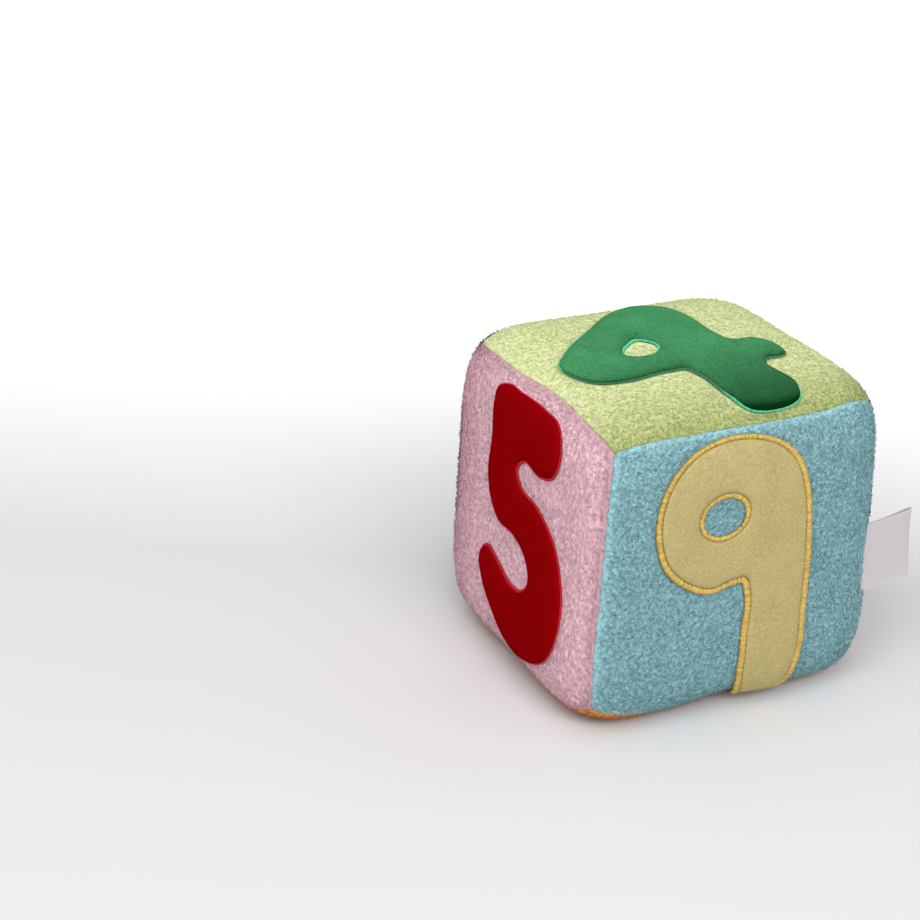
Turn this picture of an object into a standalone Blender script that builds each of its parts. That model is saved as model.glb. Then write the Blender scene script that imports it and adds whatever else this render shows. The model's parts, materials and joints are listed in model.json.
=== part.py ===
# A stuffed fabric number block: six fleece panels sewn edge to edge over a fibre filling,
# an applique numeral with a satin stitched border on each panel, and a ribbon label in one seam.
# Lengths are in metres. The origin is on the surface that the block stands on, under its middle.

import math

import bmesh
import bpy
from mathutils import Matrix, Vector
from mathutils.geometry import interpolate_bezier

# Block, over the crowns of its panels
BLOCK_WIDTH = 0.113
BLOCK_DEPTH = 0.107
BLOCK_HEIGHT = 0.110
PRESSED_FLAT = 0.0015
ROUNDNESS_POWER = 6.4

# Fleece panels
PANEL_THICKNESS = 0.0020
ALLOWANCE_DEPTH = 0.0070
ALLOWANCE_CLIP = 0.0090
CREASE_DEPTH = 0.0012
SEAM_GAP = 0.0004

# Numerals and their borders
FABRIC_GAP = 0.0003
NUMERAL_THICKNESS = 0.0012
BORDER_WIDTH = 0.0021
BORDER_HEIGHT = 0.0016
BORDER_STEP = 0.0045

# Sewing thread
THREAD_DIAMETER = 0.0007
THREAD_END_CLEARANCE = 0.0016
THREAD_LABEL_CLEARANCE = 0.0006

# Fibre filling
FILLING_GAP = 0.0006
SLOT_CLEARANCE = 0.0008

# Ribbon label, measured out from its seam
LABEL_LENGTH = 0.0222
LABEL_WIDTH = 0.0250
LABEL_SWELL = 0.0015
LABEL_ROOT_THICKNESS = 0.0008
RIBBON_THICKNESS = 0.0003
LABEL_HEIGHT = 0.0472
LABEL_LEAN = math.radians(11)

# Distances for welding and for dropping slivers
WELD_DISTANCE = 0.00001
SLIVER_WIDTH = 0.00025

# Mesh counts
PANEL_CELLS = 10
FILLING_CELLS = 4
EYE_KNOTS = 14
COLUMN_TURN = math.radians(75)

# A surface that is rounded from a cube lies this share of the way out at the cube's edge
EDGE_SHARE = 2 ** (-1 / ROUNDNESS_POWER)

HALF_SIZE = Vector((BLOCK_WIDTH, BLOCK_DEPTH, BLOCK_HEIGHT)) / 2
APPLIQUE_LIFT = FABRIC_GAP + NUMERAL_THICKNESS
CENTRE_HEIGHT = HALF_SIZE.z + APPLIQUE_LIFT - PRESSED_FLAT

# The directions of each panel's right and upper sides, for someone who looks at it
PANEL_SIDES = {
    "pink": (Vector((0, -1, 0)), Vector((0, 0, 1))),
    "aqua": (Vector((1, 0, 0)), Vector((0, 0, 1))),
    "lime": (Vector((1, 0, 0)), Vector((0, 1, 0))),
    "orange": (Vector((1, 0, 0)), Vector((0, -1, 0))),
    "charcoal": (Vector((-1, 0, 0)), Vector((0, 0, 1))),
    "plum": (Vector((0, 1, 0)), Vector((0, 0, 1))),
}

# Middle lines of the satin borders, as shares of the panel's half size, right and up.
# Outer lines run clockwise and eyes the other way, so the left side is always off the numeral.
FIVE_SHARES = [
    (-0.23, 0.84), (-0.05, 0.84), (0.24, 0.83), (0.40, 0.81), (0.48, 0.71), (0.45, 0.54),
    (0.31, 0.48), (0.11, 0.49), (0.03, 0.39), (0.09, 0.31), (0.31, 0.26), (0.51, 0.14),
    (0.62, -0.05), (0.65, -0.33), (0.56, -0.57), (0.34, -0.72), (0.15, -0.77), (0.04, -0.74),
    (-0.14, -0.60), (-0.27, -0.46), (-0.32, -0.33), (-0.25, -0.24), (-0.12, -0.28),
    (0.05, -0.35), (0.21, -0.33), (0.29, -0.22), (0.22, -0.07), (0.07, 0.00), (-0.14, 0.02),
    (-0.23, 0.11), (-0.27, 0.21), (-0.26, 0.50), (-0.29, 0.70), (-0.29, 0.80),
]
FOUR_SHARES = [
    (-0.02, 0.64), (0.07, 0.66), (0.18, 0.62), (0.27, 0.53), (0.31, 0.40), (0.32, 0.08),
    (0.35, -0.03), (0.46, -0.05), (0.50, -0.08), (0.55, -0.26), (0.54, -0.30), (0.51, -0.32),
    (0.41, -0.32), (0.37, -0.36), (0.38, -0.72), (0.34, -0.85), (0.17, -0.91), (0.02, -0.87),
    (-0.04, -0.70), (-0.06, -0.38), (-0.09, -0.29), (-0.20, -0.28), (-0.54, -0.32),
    (-0.69, -0.28), (-0.77, -0.16), (-0.77, 0.02), (-0.67, 0.12), (-0.35, 0.39),
]
FOUR_EYE_SHARES = [
    (-0.13, 0.20), (-0.23, 0.15), (-0.31, 0.06), (-0.32, -0.03), (-0.23, -0.06), (-0.12, -0.01),
    (-0.07, 0.06), (-0.08, 0.15),
]
NINE_SHARES = [
    (-0.19, 0.90), (0.00, 0.88), (0.16, 0.80), (0.27, 0.67), (0.34, 0.48), (0.39, 0.15),
    (0.41, -0.30), (0.42, -0.66), (0.38, -0.84), (0.30, -0.93), (0.20, -0.95), (0.12, -0.92),
    (0.07, -0.80), (0.03, -0.45), (0.01, -0.12), (-0.02, -0.05), (-0.09, -0.05), (-0.22, -0.08),
    (-0.40, -0.01), (-0.54, 0.13), (-0.60, 0.29), (-0.61, 0.48), (-0.55, 0.67), (-0.43, 0.81),
]
NINE_EYE_SHARES = (-0.19, 0.385, 0.150, 0.135)
SEVEN_SHARES = [
    (-0.42, 0.84), (0.00, 0.87), (0.37, 0.86), (0.50, 0.77), (0.51, 0.61), (0.43, 0.38),
    (0.28, 0.02), (0.17, -0.40), (0.11, -0.73), (0.02, -0.87), (-0.14, -0.91), (-0.30, -0.84),
    (-0.35, -0.67), (-0.28, -0.30), (-0.14, 0.06), (0.03, 0.36), (0.03, 0.46), (-0.06, 0.49),
    (-0.38, 0.49), (-0.51, 0.57), (-0.53, 0.72),
]
# One side of the eight, from its top to its foot
EIGHT_SIDE_SHARES = [
    (0.13, 0.80), (0.34, 0.72), (0.45, 0.54), (0.42, 0.31), (0.38, 0.13), (0.46, -0.02),
    (0.56, -0.24), (0.56, -0.48), (0.44, -0.73), (0.17, -0.89),
]
EIGHT_UPPER_EYE_SHARES = (0.0, 0.42, 0.14, 0.13)
EIGHT_LOWER_EYE_SHARES = (0.0, -0.42, 0.19, 0.19)
# The six is the nine turned half round, drawn in a little and moved up
SIX_REACH_SHARE = 0.74
SIX_RISE_SHARE = 0.03

# Section of a border, as shares of half its width and of its height
BORDER_SECTION_SHARES = [(-1.0, 0.0), (1.0, 0.0), (0.95, 0.55), (0.25, 1.0), (-0.85, 0.85)]

# Half thickness of the folded label along its length, as shares of its length and its swell
LABEL_SHARES = [
    (0.00, 0.00), (0.12, 0.00), (0.30, 0.20), (0.55, 0.75), (0.80, 1.00), (0.93, 0.80),
    (0.985, 0.40),
]
LABEL_PINCH_SHARE = 0.20

# Colours of the fabrics and threads, as linear red, green and blue
COLOURS = {
    "pink_fleece": (0.63, 0.38, 0.43),
    "aqua_fleece": (0.18, 0.36, 0.39),
    "lime_fleece": (0.64, 0.69, 0.36),
    "orange_fleece": (0.75, 0.27, 0.05),
    "charcoal_fleece": (0.10, 0.09, 0.08),
    "plum_fleece": (0.10, 0.02, 0.06),
    "red_velour": (0.21, 0.00, 0.01),
    "green_velour": (0.03, 0.23, 0.08),
    "yellow_velour": (0.55, 0.45, 0.20),
    "blue_velour": (0.29, 0.46, 0.75),
    "red_satin": (0.45, 0.01, 0.02),
    "mint_satin": (0.08, 0.50, 0.24),
    "gold_satin": (0.60, 0.40, 0.09),
    "blue_satin": (0.45, 0.60, 0.82),
    "thread": (0.45, 0.43, 0.40),
    "fibre": (0.86, 0.85, 0.82),
    "ribbon": (0.83, 0.81, 0.80),
}


def clear_scene():
    for item in list(bpy.data.objects):
        bpy.data.objects.remove(item, do_unlink=True)


def material(name, roughness=0.95):
    """One Principled material for each fabric or thread, made on first use."""
    made = bpy.data.materials.get(name)
    if made:
        return made
    made = bpy.data.materials.new(name)
    made.use_nodes = True
    shader = made.node_tree.nodes["Principled BSDF"]
    shader.inputs["Base Color"].default_value = (*COLOURS[name], 1)
    shader.inputs["Roughness"].default_value = roughness
    shader.inputs["Metallic"].default_value = 0
    return made


def add_piece(name, data, finish):
    piece = bpy.data.objects.new(name, data)
    block_parts.objects.link(piece)
    data.materials.clear()
    data.materials.append(finish)
    return piece


def mesh_from(bm, name):
    mesh = bpy.data.meshes.new(name)
    bm.to_mesh(mesh)
    bm.free()
    mesh.shade_smooth()
    mesh.set_sharp_from_angle(angle=math.radians(40))
    return mesh


# The stuffed shape: a cube whose surface is pulled in towards its edges and corners

def skin_point(unit, lift):
    """A point of the unit cube's surface, carried to the stuffed block's skin or lift outside it.
    Nothing reaches below the surface that the block stands on, where its layers press flat."""
    total = sum(abs(part) ** ROUNDNESS_POWER for part in unit)
    share = total ** (-1 / ROUNDNESS_POWER)
    point = Vector([part * share * (half + lift) for part, half in zip(unit, HALF_SIZE)])
    point.z = max(point.z + CENTRE_HEIGHT, APPLIQUE_LIFT - lift, 0)
    return point


def panel_point(panel, across, up, lift):
    """The skin point at shares across and up a panel, counted from its middle."""
    right_side, upper_side = PANEL_SIDES[panel]
    facing = right_side.cross(upper_side)
    return skin_point(facing + across * right_side + up * upper_side, lift)


def half_sizes(panel):
    """Half the panel's size across and up."""
    return [abs(side.dot(HALF_SIZE)) for side in PANEL_SIDES[panel]]


def share_beside_seam(distance, depth):
    """The share at which a layer at this depth lies this far from the plane through a seam."""
    return 1 - math.sqrt(2) * distance / (EDGE_SHARE * (min(HALF_SIZE) - depth))


def column_shares(cells):
    """Shares of a panel's grid lines, which lie closer together towards the rounded seams."""
    steps = range(-cells // 2, cells // 2 + 1)
    return [math.sin(COLUMN_TURN * 2 * step / cells) / math.sin(COLUMN_TURN) for step in steps]


SEAM_SHARE = share_beside_seam(SEAM_GAP / 2, CREASE_DEPTH)
SLOT_SHARE = share_beside_seam(PANEL_THICKNESS + SEAM_GAP / 2 + SLOT_CLEARANCE, ALLOWANCE_DEPTH)


def grid_on_panel(panel, columns, place, notch_corners):
    """A grid with a vertex for each pair of columns, placed by a function of the two columns."""
    cells = len(columns) - 1
    bm = bmesh.new()
    bmesh.ops.create_grid(bm, x_segments=cells, y_segments=cells, size=1)
    if notch_corners:
        reach = 1 - 1 / cells
        corners = [
            face
            for face in bm.faces
            if min(abs(part) for part in face.calc_center_median()[:2]) > reach - 1 / cells
        ]
        bmesh.ops.delete(bm, geom=corners, context="FACES")
    for vertex in bm.verts:
        column = round((vertex.co.x + 1) / 2 * cells)
        row = round((vertex.co.y + 1) / 2 * cells)
        vertex.co = place(panel, columns[column], columns[row])
    bmesh.ops.triangulate(bm, faces=bm.faces, quad_method="SHORT_EDGE")
    return bm


def panel_vertex(panel, column, row):
    """A column is (share, depth). A seam allowance turns in from the seam towards the middle of
    the block, with its ends clipped so that three seams can meet at a corner."""
    deepest = max(column[1], row[1])
    shares = [column[0], row[0]]
    if deepest == ALLOWANCE_DEPTH:
        clip = 1 - ALLOWANCE_CLIP / min(HALF_SIZE)
        shares = [
            share if depth == ALLOWANCE_DEPTH else share * clip
            for share, depth in (column, row)
        ]
    return panel_point(panel, *shares, -deepest)


def fleece_panel(panel):
    face_columns = [(share, 0) for share in column_shares(PANEL_CELLS)[1:-1]]
    seam = [(SEAM_SHARE, CREASE_DEPTH), (SEAM_SHARE, ALLOWANCE_DEPTH)]
    far_seam = [(-share, depth) for share, depth in reversed(seam)]
    bm = grid_on_panel(panel, far_seam + face_columns + seam, panel_vertex, True)
    name = panel + "_panel"
    mesh = bpy.data.meshes.new(name)
    bm.to_mesh(mesh)
    bm.free()
    mesh.shade_smooth()
    piece = add_piece(name, mesh, material(panel + "_fleece"))
    cloth = piece.modifiers.new("fleece", "SOLIDIFY")
    cloth.thickness = PANEL_THICKNESS
    cloth.offset = -1
    cloth.use_even_offset = True


# Numerals and borders are drawn flat, in metres from the panel's middle, then laid on the panel

def eye_line(shares):
    """A round or oval eye, the other way round from the clockwise outer line."""
    across, up, wide, high = shares
    turns = [2 * math.pi * step / EYE_KNOTS for step in range(EYE_KNOTS)]
    return [(across + wide * math.cos(turn), up + high * math.sin(turn)) for turn in turns]


def turned_half_round(line):
    return [(-SIX_REACH_SHARE * x, SIX_RISE_SHARE - SIX_REACH_SHARE * y) for x, y in line]


def mirrored(side):
    return side + [(-x, y) for x, y in reversed(side)]


NUMERALS = {
    "pink": ("numeral_5", "red", [FIVE_SHARES]),
    "lime": ("numeral_4", "green", [FOUR_SHARES, FOUR_EYE_SHARES]),
    "aqua": ("numeral_9", "yellow", [NINE_SHARES, eye_line(NINE_EYE_SHARES)]),
    "orange": (
        "numeral_6",
        "green",
        [turned_half_round(NINE_SHARES), turned_half_round(eye_line(NINE_EYE_SHARES))],
    ),
    "charcoal": ("numeral_7", "blue", [SEVEN_SHARES]),
    "plum": (
        "numeral_8",
        "yellow",
        [
            mirrored(EIGHT_SIDE_SHARES),
            eye_line(EIGHT_UPPER_EYE_SHARES),
            eye_line(EIGHT_LOWER_EYE_SHARES),
        ],
    ),
}
SATIN = {"red": "red_satin", "green": "mint_satin", "yellow": "gold_satin", "blue": "blue_satin"}


def smooth_loop(knots):
    """A closed line of stations along a smooth curve through the knots."""
    count = len(knots)
    headings = []
    for index, knot in enumerate(knots):
        back = knot - knots[index - 1]
        ahead = knots[(index + 1) % count] - knot
        heading = ahead * (back.length / ahead.length) + back * (ahead.length / back.length)
        headings.append(heading.normalized())
    stations = []
    for index, knot in enumerate(knots):
        following = knots[(index + 1) % count]
        reach = (following - knot).length / 3
        steps = max(2, round(3 * reach / BORDER_STEP) + 1)
        leave = knot + headings[index] * reach
        arrive = following - headings[(index + 1) % count] * reach
        stations += interpolate_bezier(knot, leave, arrive, following, steps)[:-1]
    return stations


def border_line(panel, shares):
    half_across, half_up = half_sizes(panel)
    return smooth_loop([Vector((x * half_across, y * half_up)) for x, y in shares])


def inset_line(line, distance):
    """The line moved to its right, which is into the numeral's fabric."""
    moved = []
    for index, point in enumerate(line):
        heading = line[(index + 1) % len(line)] - line[index - 1]
        moved.append(point + Vector((heading.y, -heading.x)).normalized() * distance)
    return moved


def poly_curve(name, lines):
    curve = bpy.data.curves.new(name, "CURVE")
    curve.dimensions = "2D"
    for line in lines:
        spline = curve.splines.new("POLY")
        spline.points.add(len(line) - 1)
        for point, place in zip(spline.points, line):
            point.co = (place[0], place[1], 0, 1)
        spline.use_cyclic_u = True
    return curve


def mesh_of_curve(curve):
    """The curve's evaluated shape as an editable mesh with its seams welded."""
    holder = bpy.data.objects.new(curve.name, curve)
    block_parts.objects.link(holder)
    graph = bpy.context.evaluated_depsgraph_get()
    mesh = bpy.data.meshes.new_from_object(holder.evaluated_get(graph))
    bpy.data.objects.remove(holder)
    bpy.data.curves.remove(curve)
    bm = bmesh.new()
    bm.from_mesh(mesh)
    bpy.data.meshes.remove(mesh)
    bmesh.ops.remove_doubles(bm, verts=bm.verts, dist=WELD_DISTANCE)
    bmesh.ops.recalc_face_normals(bm, faces=bm.faces)
    return bm


def lay_on_panel(bm, panel):
    half_across, half_up = half_sizes(panel)
    for vertex in bm.verts:
        flat = vertex.co
        vertex.co = panel_point(panel, flat.x / half_across, flat.y / half_up, flat.z)


def cut_at_columns(bm, panel):
    """Cuts a flat solid along the panel's grid lines, so that it can bend where the panel does."""
    for axis, half in zip((Vector((1, 0, 0)), Vector((0, 1, 0))), half_sizes(panel)):
        for share in column_shares(PANEL_CELLS):
            everything = bm.verts[:] + bm.edges[:] + bm.faces[:]
            bmesh.ops.bisect_plane(
                bm, geom=everything, dist=WELD_DISTANCE, plane_co=axis * share * half, plane_no=axis
            )
    bmesh.ops.remove_doubles(bm, verts=bm.verts, dist=SLIVER_WIDTH)


def numeral(panel):
    name, colour, lines = NUMERALS[panel]
    inset = BORDER_WIDTH / 2 + FABRIC_GAP
    curve = poly_curve(name, [inset_line(border_line(panel, line), inset) for line in lines])
    curve.fill_mode = "BOTH"
    curve.extrude = NUMERAL_THICKNESS / 2
    bm = mesh_of_curve(curve)
    bmesh.ops.translate(bm, verts=bm.verts, vec=(0, 0, FABRIC_GAP + NUMERAL_THICKNESS / 2))
    cut_at_columns(bm, panel)
    bmesh.ops.triangulate(bm, faces=bm.faces)
    lay_on_panel(bm, panel)
    add_piece(name, mesh_from(bm, name), material(colour + "_velour"))


def satin_border(name, panel, line, finish):
    """A rounded band of stitching along a border's middle line."""
    section = poly_curve(
        name + "_section",
        [[(x * BORDER_WIDTH / 2, y * BORDER_HEIGHT) for x, y in BORDER_SECTION_SHARES]],
    )
    shape = bpy.data.objects.new(name + "_section", section)
    guides.objects.link(shape)
    shape.hide_render = True
    curve = poly_curve(name, [border_line(panel, line)])
    curve.bevel_mode = "OBJECT"
    curve.bevel_object = shape
    bm = mesh_of_curve(curve)
    bpy.data.objects.remove(shape)
    bmesh.ops.translate(bm, verts=bm.verts, vec=(0, 0, FABRIC_GAP))
    lay_on_panel(bm, panel)
    add_piece(name, mesh_from(bm, name), finish)


def borders(panel):
    name, colour, lines = NUMERALS[panel]
    digit = name[-1]
    eye_names = ["eye"] if len(lines) == 2 else ["upper_eye", "lower_eye"]
    names = ["border_" + digit] + [f"border_{digit}_{eye}" for eye in eye_names]
    finish = material(SATIN[colour], 0.45)
    for border_name, line in zip(names, lines):
        satin_border(border_name, panel, line, finish)


# Seams: each runs along one edge of the block, between the panels on its two sides

SEAMS = {
    "pink_aqua": (-1, -1, None),
    "aqua_plum": (1, -1, None),
    "plum_charcoal": (1, 1, None),
    "charcoal_pink": (-1, 1, None),
    "lime_pink": (-1, None, 1),
    "lime_aqua": (None, -1, 1),
    "lime_plum": (1, None, 1),
    "lime_charcoal": (None, 1, 1),
    "orange_pink": (-1, None, -1),
    "orange_aqua": (None, -1, -1),
    "orange_plum": (1, None, -1),
    "orange_charcoal": (None, 1, -1),
}
# The last seam to be sewn is the one that the filling went in through, and is closed by hand
CLOSING_SEAM = "orange_charcoal"

LABEL_SEAM = "aqua_plum"


def crease_depth_of(radius):
    """How deep something round lies in a crease, clear of the panels on both sides."""
    return CREASE_DEPTH - (radius + FABRIC_GAP)


def seam_point(seam, along, lift):
    """The point at this share along a seam, from -1 at one corner to 1 at the other."""
    return skin_point([along if part is None else part for part in SEAMS[seam]], lift)


def seam_threads(seam):
    """The thread of one seam, which is in two runs where the label's root interrupts it."""
    name = ("closing_thread_" if seam == CLOSING_SEAM else "thread_") + seam
    half_length = (seam_point(seam, 1, 0) - seam_point(seam, -1, 0)).length / 2
    end_share = 1 - THREAD_END_CLEARANCE / half_length
    shares = [share * end_share for share in column_shares(PANEL_CELLS)]
    if seam != LABEL_SEAM:
        thread_run(name, seam, shares)
        return
    clear = (LABEL_WIDTH / 2 + THREAD_LABEL_CLEARANCE) / (HALF_SIZE.z * EDGE_SHARE)
    under, over = label_share() - clear, label_share() + clear
    thread_run(name + "_lower", seam, [share for share in shares if share < under] + [under])
    thread_run(name + "_upper", seam, [over] + [share for share in shares if share > over])


def thread_run(name, seam, shares):
    curve = bpy.data.curves.new(name, "CURVE")
    curve.dimensions = "3D"
    spline = curve.splines.new("POLY")
    spline.points.add(len(shares) - 1)
    depth = crease_depth_of(THREAD_DIAMETER / 2)
    for point, share in zip(spline.points, shares):
        point.co = (*seam_point(seam, share, -depth), 1)
    curve.bevel_depth = THREAD_DIAMETER / 2
    curve.bevel_resolution = 1
    curve.use_fill_caps = True
    add_piece(name, curve, material("thread", 0.6))


# Filling: one soft mass, slotted along the seams for the turned in allowances

def filling_vertex(panel, column, row):
    return panel_point(panel, column[0], row[0], -max(column[1], row[1]))


def fibre_filling():
    surface_depth = PANEL_THICKNESS + FILLING_GAP
    slot_depth = ALLOWANCE_DEPTH + SLOT_CLEARANCE
    inner = column_shares(FILLING_CELLS)[1:-1]
    columns = [(share, surface_depth) for share in inner]
    slot = [(SLOT_SHARE, surface_depth), (SLOT_SHARE, slot_depth), (1, slot_depth)]
    far_slot = [(-share, depth) for share, depth in reversed(slot)]
    whole = bmesh.new()
    for panel in PANEL_SIDES:
        side = grid_on_panel(panel, far_slot + columns + slot, filling_vertex, False)
        mesh = bpy.data.meshes.new("filling_side")
        side.to_mesh(mesh)
        side.free()
        whole.from_mesh(mesh)
        bpy.data.meshes.remove(mesh)
    bmesh.ops.remove_doubles(whole, verts=whole.verts, dist=WELD_DISTANCE)
    add_piece("fibre_filling", mesh_from(whole, "fibre_filling"), material("fibre"))


# Label: a folded ribbon that swings about the seam which holds its ends

def label_line(shares, thickness, inset):
    """The closed outline of half thicknesses along the label, both sides of its middle."""
    reach = LABEL_LENGTH - inset
    upper = []
    for along, swell in shares:
        half = thickness + (LABEL_SWELL / 2 - LABEL_ROOT_THICKNESS / 2) * swell
        upper.append(Vector((reach * along, half)))
    lower = [Vector((point.x, -point.y)) for point in reversed(upper)]
    return upper + [Vector((reach, 0))] + lower


def side_label():
    outer = label_line(LABEL_SHARES, LABEL_ROOT_THICKNESS / 2, 0)
    root_end = Vector((-LABEL_ROOT_THICKNESS / 2, 0))
    loop_start = next(i for i, pair in enumerate(LABEL_SHARES) if pair[0] > LABEL_PINCH_SHARE)
    inner_half = LABEL_ROOT_THICKNESS / 2 - RIBBON_THICKNESS
    inner = label_line(LABEL_SHARES[loop_start:], inner_half, RIBBON_THICKNESS)
    pinch = Vector((LABEL_LENGTH * LABEL_PINCH_SHARE, 0))
    curve = poly_curve("side_label", [outer + [root_end], inner + [pinch]])
    curve.fill_mode = "BOTH"
    curve.extrude = LABEL_WIDTH / 2
    piece = add_piece("side_label", mesh_from(mesh_of_curve(curve), "side_label"), material("ribbon", 0.6))
    swing = label_swing_point()
    piece.matrix_world = Matrix.Translation(swing) @ Matrix.Rotation(LABEL_LEAN, 4, "Z")


def label_share():
    """How far along its upright seam the label's middle is."""
    return (LABEL_HEIGHT - CENTRE_HEIGHT) / (HALF_SIZE.z * EDGE_SHARE)


def label_swing_point():
    """Where the label's rounded root sits in the crease of its seam."""
    point = seam_point(LABEL_SEAM, label_share(), -crease_depth_of(LABEL_ROOT_THICKNESS / 2))
    return Vector((point.x, point.y, LABEL_HEIGHT))


clear_scene()
block_parts = bpy.data.collections.new("soft_fabric_block")
bpy.context.scene.collection.children.link(block_parts)
guides = bpy.data.collections.new("guides")
bpy.context.scene.collection.children.link(guides)

fibre_filling()
for panel_name in PANEL_SIDES:
    fleece_panel(panel_name)
    numeral(panel_name)
    borders(panel_name)
for seam_name in SEAMS:
    seam_threads(seam_name)
side_label()

print("label swings about", [round(part, 5) for part in label_swing_point()])
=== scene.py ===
# The looks of a stuffed fabric number block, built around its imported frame.
# Lengths are in metres, in the frame's own axes.

import json
import math

import bmesh
import bpy
import numpy as np
from mathutils import Matrix, Vector, noise
from mathutils.geometry import delaunay_2d_cdt, interpolate_bezier
from mathutils.kdtree import KDTree


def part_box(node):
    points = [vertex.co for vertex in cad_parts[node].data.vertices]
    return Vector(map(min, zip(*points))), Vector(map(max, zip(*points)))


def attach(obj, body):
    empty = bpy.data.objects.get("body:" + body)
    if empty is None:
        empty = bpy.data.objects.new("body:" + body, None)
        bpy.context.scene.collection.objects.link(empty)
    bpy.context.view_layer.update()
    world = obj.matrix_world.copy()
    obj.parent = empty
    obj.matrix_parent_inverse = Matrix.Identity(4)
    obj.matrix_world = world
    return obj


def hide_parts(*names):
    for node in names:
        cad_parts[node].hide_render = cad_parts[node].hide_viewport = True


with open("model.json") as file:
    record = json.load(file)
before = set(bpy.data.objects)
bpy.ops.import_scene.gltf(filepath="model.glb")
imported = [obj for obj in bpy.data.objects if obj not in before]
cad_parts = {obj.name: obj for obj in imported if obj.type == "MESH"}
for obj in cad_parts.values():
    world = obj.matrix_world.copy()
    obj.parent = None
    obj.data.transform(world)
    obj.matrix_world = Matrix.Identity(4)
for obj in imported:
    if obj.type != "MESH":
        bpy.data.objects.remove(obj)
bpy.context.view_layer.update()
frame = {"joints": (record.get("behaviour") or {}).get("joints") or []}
LABEL_ROOT = frame["joints"][0]["pos_m"]

# Camera, fitted to the seams and outline of the block
CAMERA_PLACE = Vector((-0.4171, -0.6274, 0.4249))
CAMERA_TURN = math.radians(-28.48)
CAMERA_DOWN = math.radians(25.60)
CAMERA_ROLL = math.radians(3.52)
FILM_WIDTH = 0.036
PICTURE_WIDTH = 920
FOCAL_PIXELS = 2500
NEAREST_SHOWN = 0.01
MILLIMETRES = 1000

# Stuffed shape, as the frame has it
ROUNDNESS_POWER = 6.4
EDGE_SHARE = 2 ** (-1 / ROUNDNESS_POWER)
PRESSED_FLAT = 0.0015
FABRIC_GAP = 0.0003
NUMERAL_THICKNESS = 0.0012
APPLIQUE_LIFT = FABRIC_GAP + NUMERAL_THICKNESS
BLOCK_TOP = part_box("lime_panel")[1].z
CENTRE_HEIGHT = (BLOCK_TOP + APPLIQUE_LIFT - PRESSED_FLAT) / 2
HALF_SIZE = np.array(
    [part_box("plum_panel")[1].x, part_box("charcoal_panel")[1].y, BLOCK_TOP - CENTRE_HEIGHT]
)

# Soft departures from the even shape: where on the unit cube, with None for every place along
# that axis, how far they reach as a share of half a side, and how far the skin is pulled there
PULLS = [
    ((-1.0, -0.75, -0.75), 0.45, (-0.0014, 0.0, -0.0004)),
    ((-1.0, -0.93, None), 0.07, (0.0006, 0.0, 0.0)),
    ((1.0, -1.0, 0.70), 0.45, (-0.0004, 0.0016, 0.0)),
    ((1.0, -0.9, -0.35), 0.45, (0.0024, 0.0006, 0.0)),
    ((0.45, -1.0, -1.0), 0.70, (0.0, 0.0012, 0.0)),
    ((0.08, -1.0, -1.0), 0.24, (0.0, 0.0009, 0.0013)),
    ((1.0, -0.4, 1.0), 0.55, (0.0011, 0.0, 0.0004)),
    ((1.0, -1.0, -0.95), 0.40, (0.0022, -0.0004, -0.0012)),
    ((1.0, -1.0, -0.32), 0.13, (-0.0011, 0.0, 0.0)),
    ((1.0, -1.0, -0.14), 0.13, (-0.0011, 0.0, 0.0)),
    ((1.0, -1.0, 0.04), 0.13, (-0.0011, 0.0, 0.0)),
    ((-0.1, 0.55, 1.0), 0.60, (0.0, 0.0, -0.0010)),
]

# Where the seams wander, in the same way, and how far they slide over the unit cube
SLIDES = [
    ((-1.0, -0.25, 1.0), 0.42, (0.050, 0.0, 0.010)),
    ((-1.0, -1.0, 1.0), 0.12, (-0.020, 0.0, -0.010)),
    ((None, -1.0, -1.0), 0.26, (0.0, 0.090, -0.060)),
    ((-1.0, -1.0, -1.0), 0.34, (0.0, -0.100, 0.075)),
    ((-0.70, -1.0, -1.0), 0.20, (0.0, -0.045, 0.030)),
    ((1.0, -1.0, 1.0), 0.16, (0.020, 0.0, -0.050)),
    ((1.0, -1.0, 0.85), 0.30, (0.0, 0.120, 0.0)),
    ((1.0, -1.0, 0.45), 0.35, (0.0, 0.060, 0.0)),
    ((1.0, -1.0, -0.55), 0.25, (0.0, 0.060, 0.0)),
    ((-0.85, 1.0, 1.0), 0.20, (0.0, -0.090, 0.0)),
    ((-1.0, 1.0, 0.35), 0.28, (0.0, -0.110, 0.0)),
    ((-1.0, 1.0, 0.05), 0.28, (0.0, -0.080, 0.0)),
    ((-1.0, 1.0, -0.25), 0.28, (0.0, -0.105, 0.0)),
]

# Fleece panels
PANEL_THICKNESS = 0.0020
ALLOWANCE_DEPTH = 0.0070
CREASE_DEPTH = 0.0008
CREASE_WIDTH = 0.0012
# Width of the painted light and shade beside the seams
SEAM_LIGHT_WIDTH = 0.0032
SEAM_GAP = 0.0003
PANEL_CELLS = 12
FINE_STEPS = 20
COLUMN_TURN = math.radians(60)
PILE_SINK = 0.0008
LUMP_SIZE = 0.0014
FIBRE_LENGTH = 0.0012
FIBRES_TO_THE_SQUARE_METRE = 2.2e6
FIBRE_LEANS = (math.radians(25), math.radians(80))
FIBRE_SIZES = (0.6, 1.25)
FIBRE_TONES = (0.1, 1.3)

# How much of the pile a crease takes, and, as shares of the frame's border width, how far from
# that border's middle the pile starts and over what width it rises
CREASED_PILE_SHARE = 0.55
PILE_START_SHARE = 0.35
PILE_RISE_SHARE = 0.5

# Sewing thread
THREAD_DIAMETER = 0.00024
THREAD_DEPTH = 0.0012
THREAD_END_CLEARANCE = 0.0016
THREAD_STEP = 0.0004
STITCH_LENGTH = 0.0028
HAND_STITCH_LENGTH = 0.0040
THREAD_SIDES = 6

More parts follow.
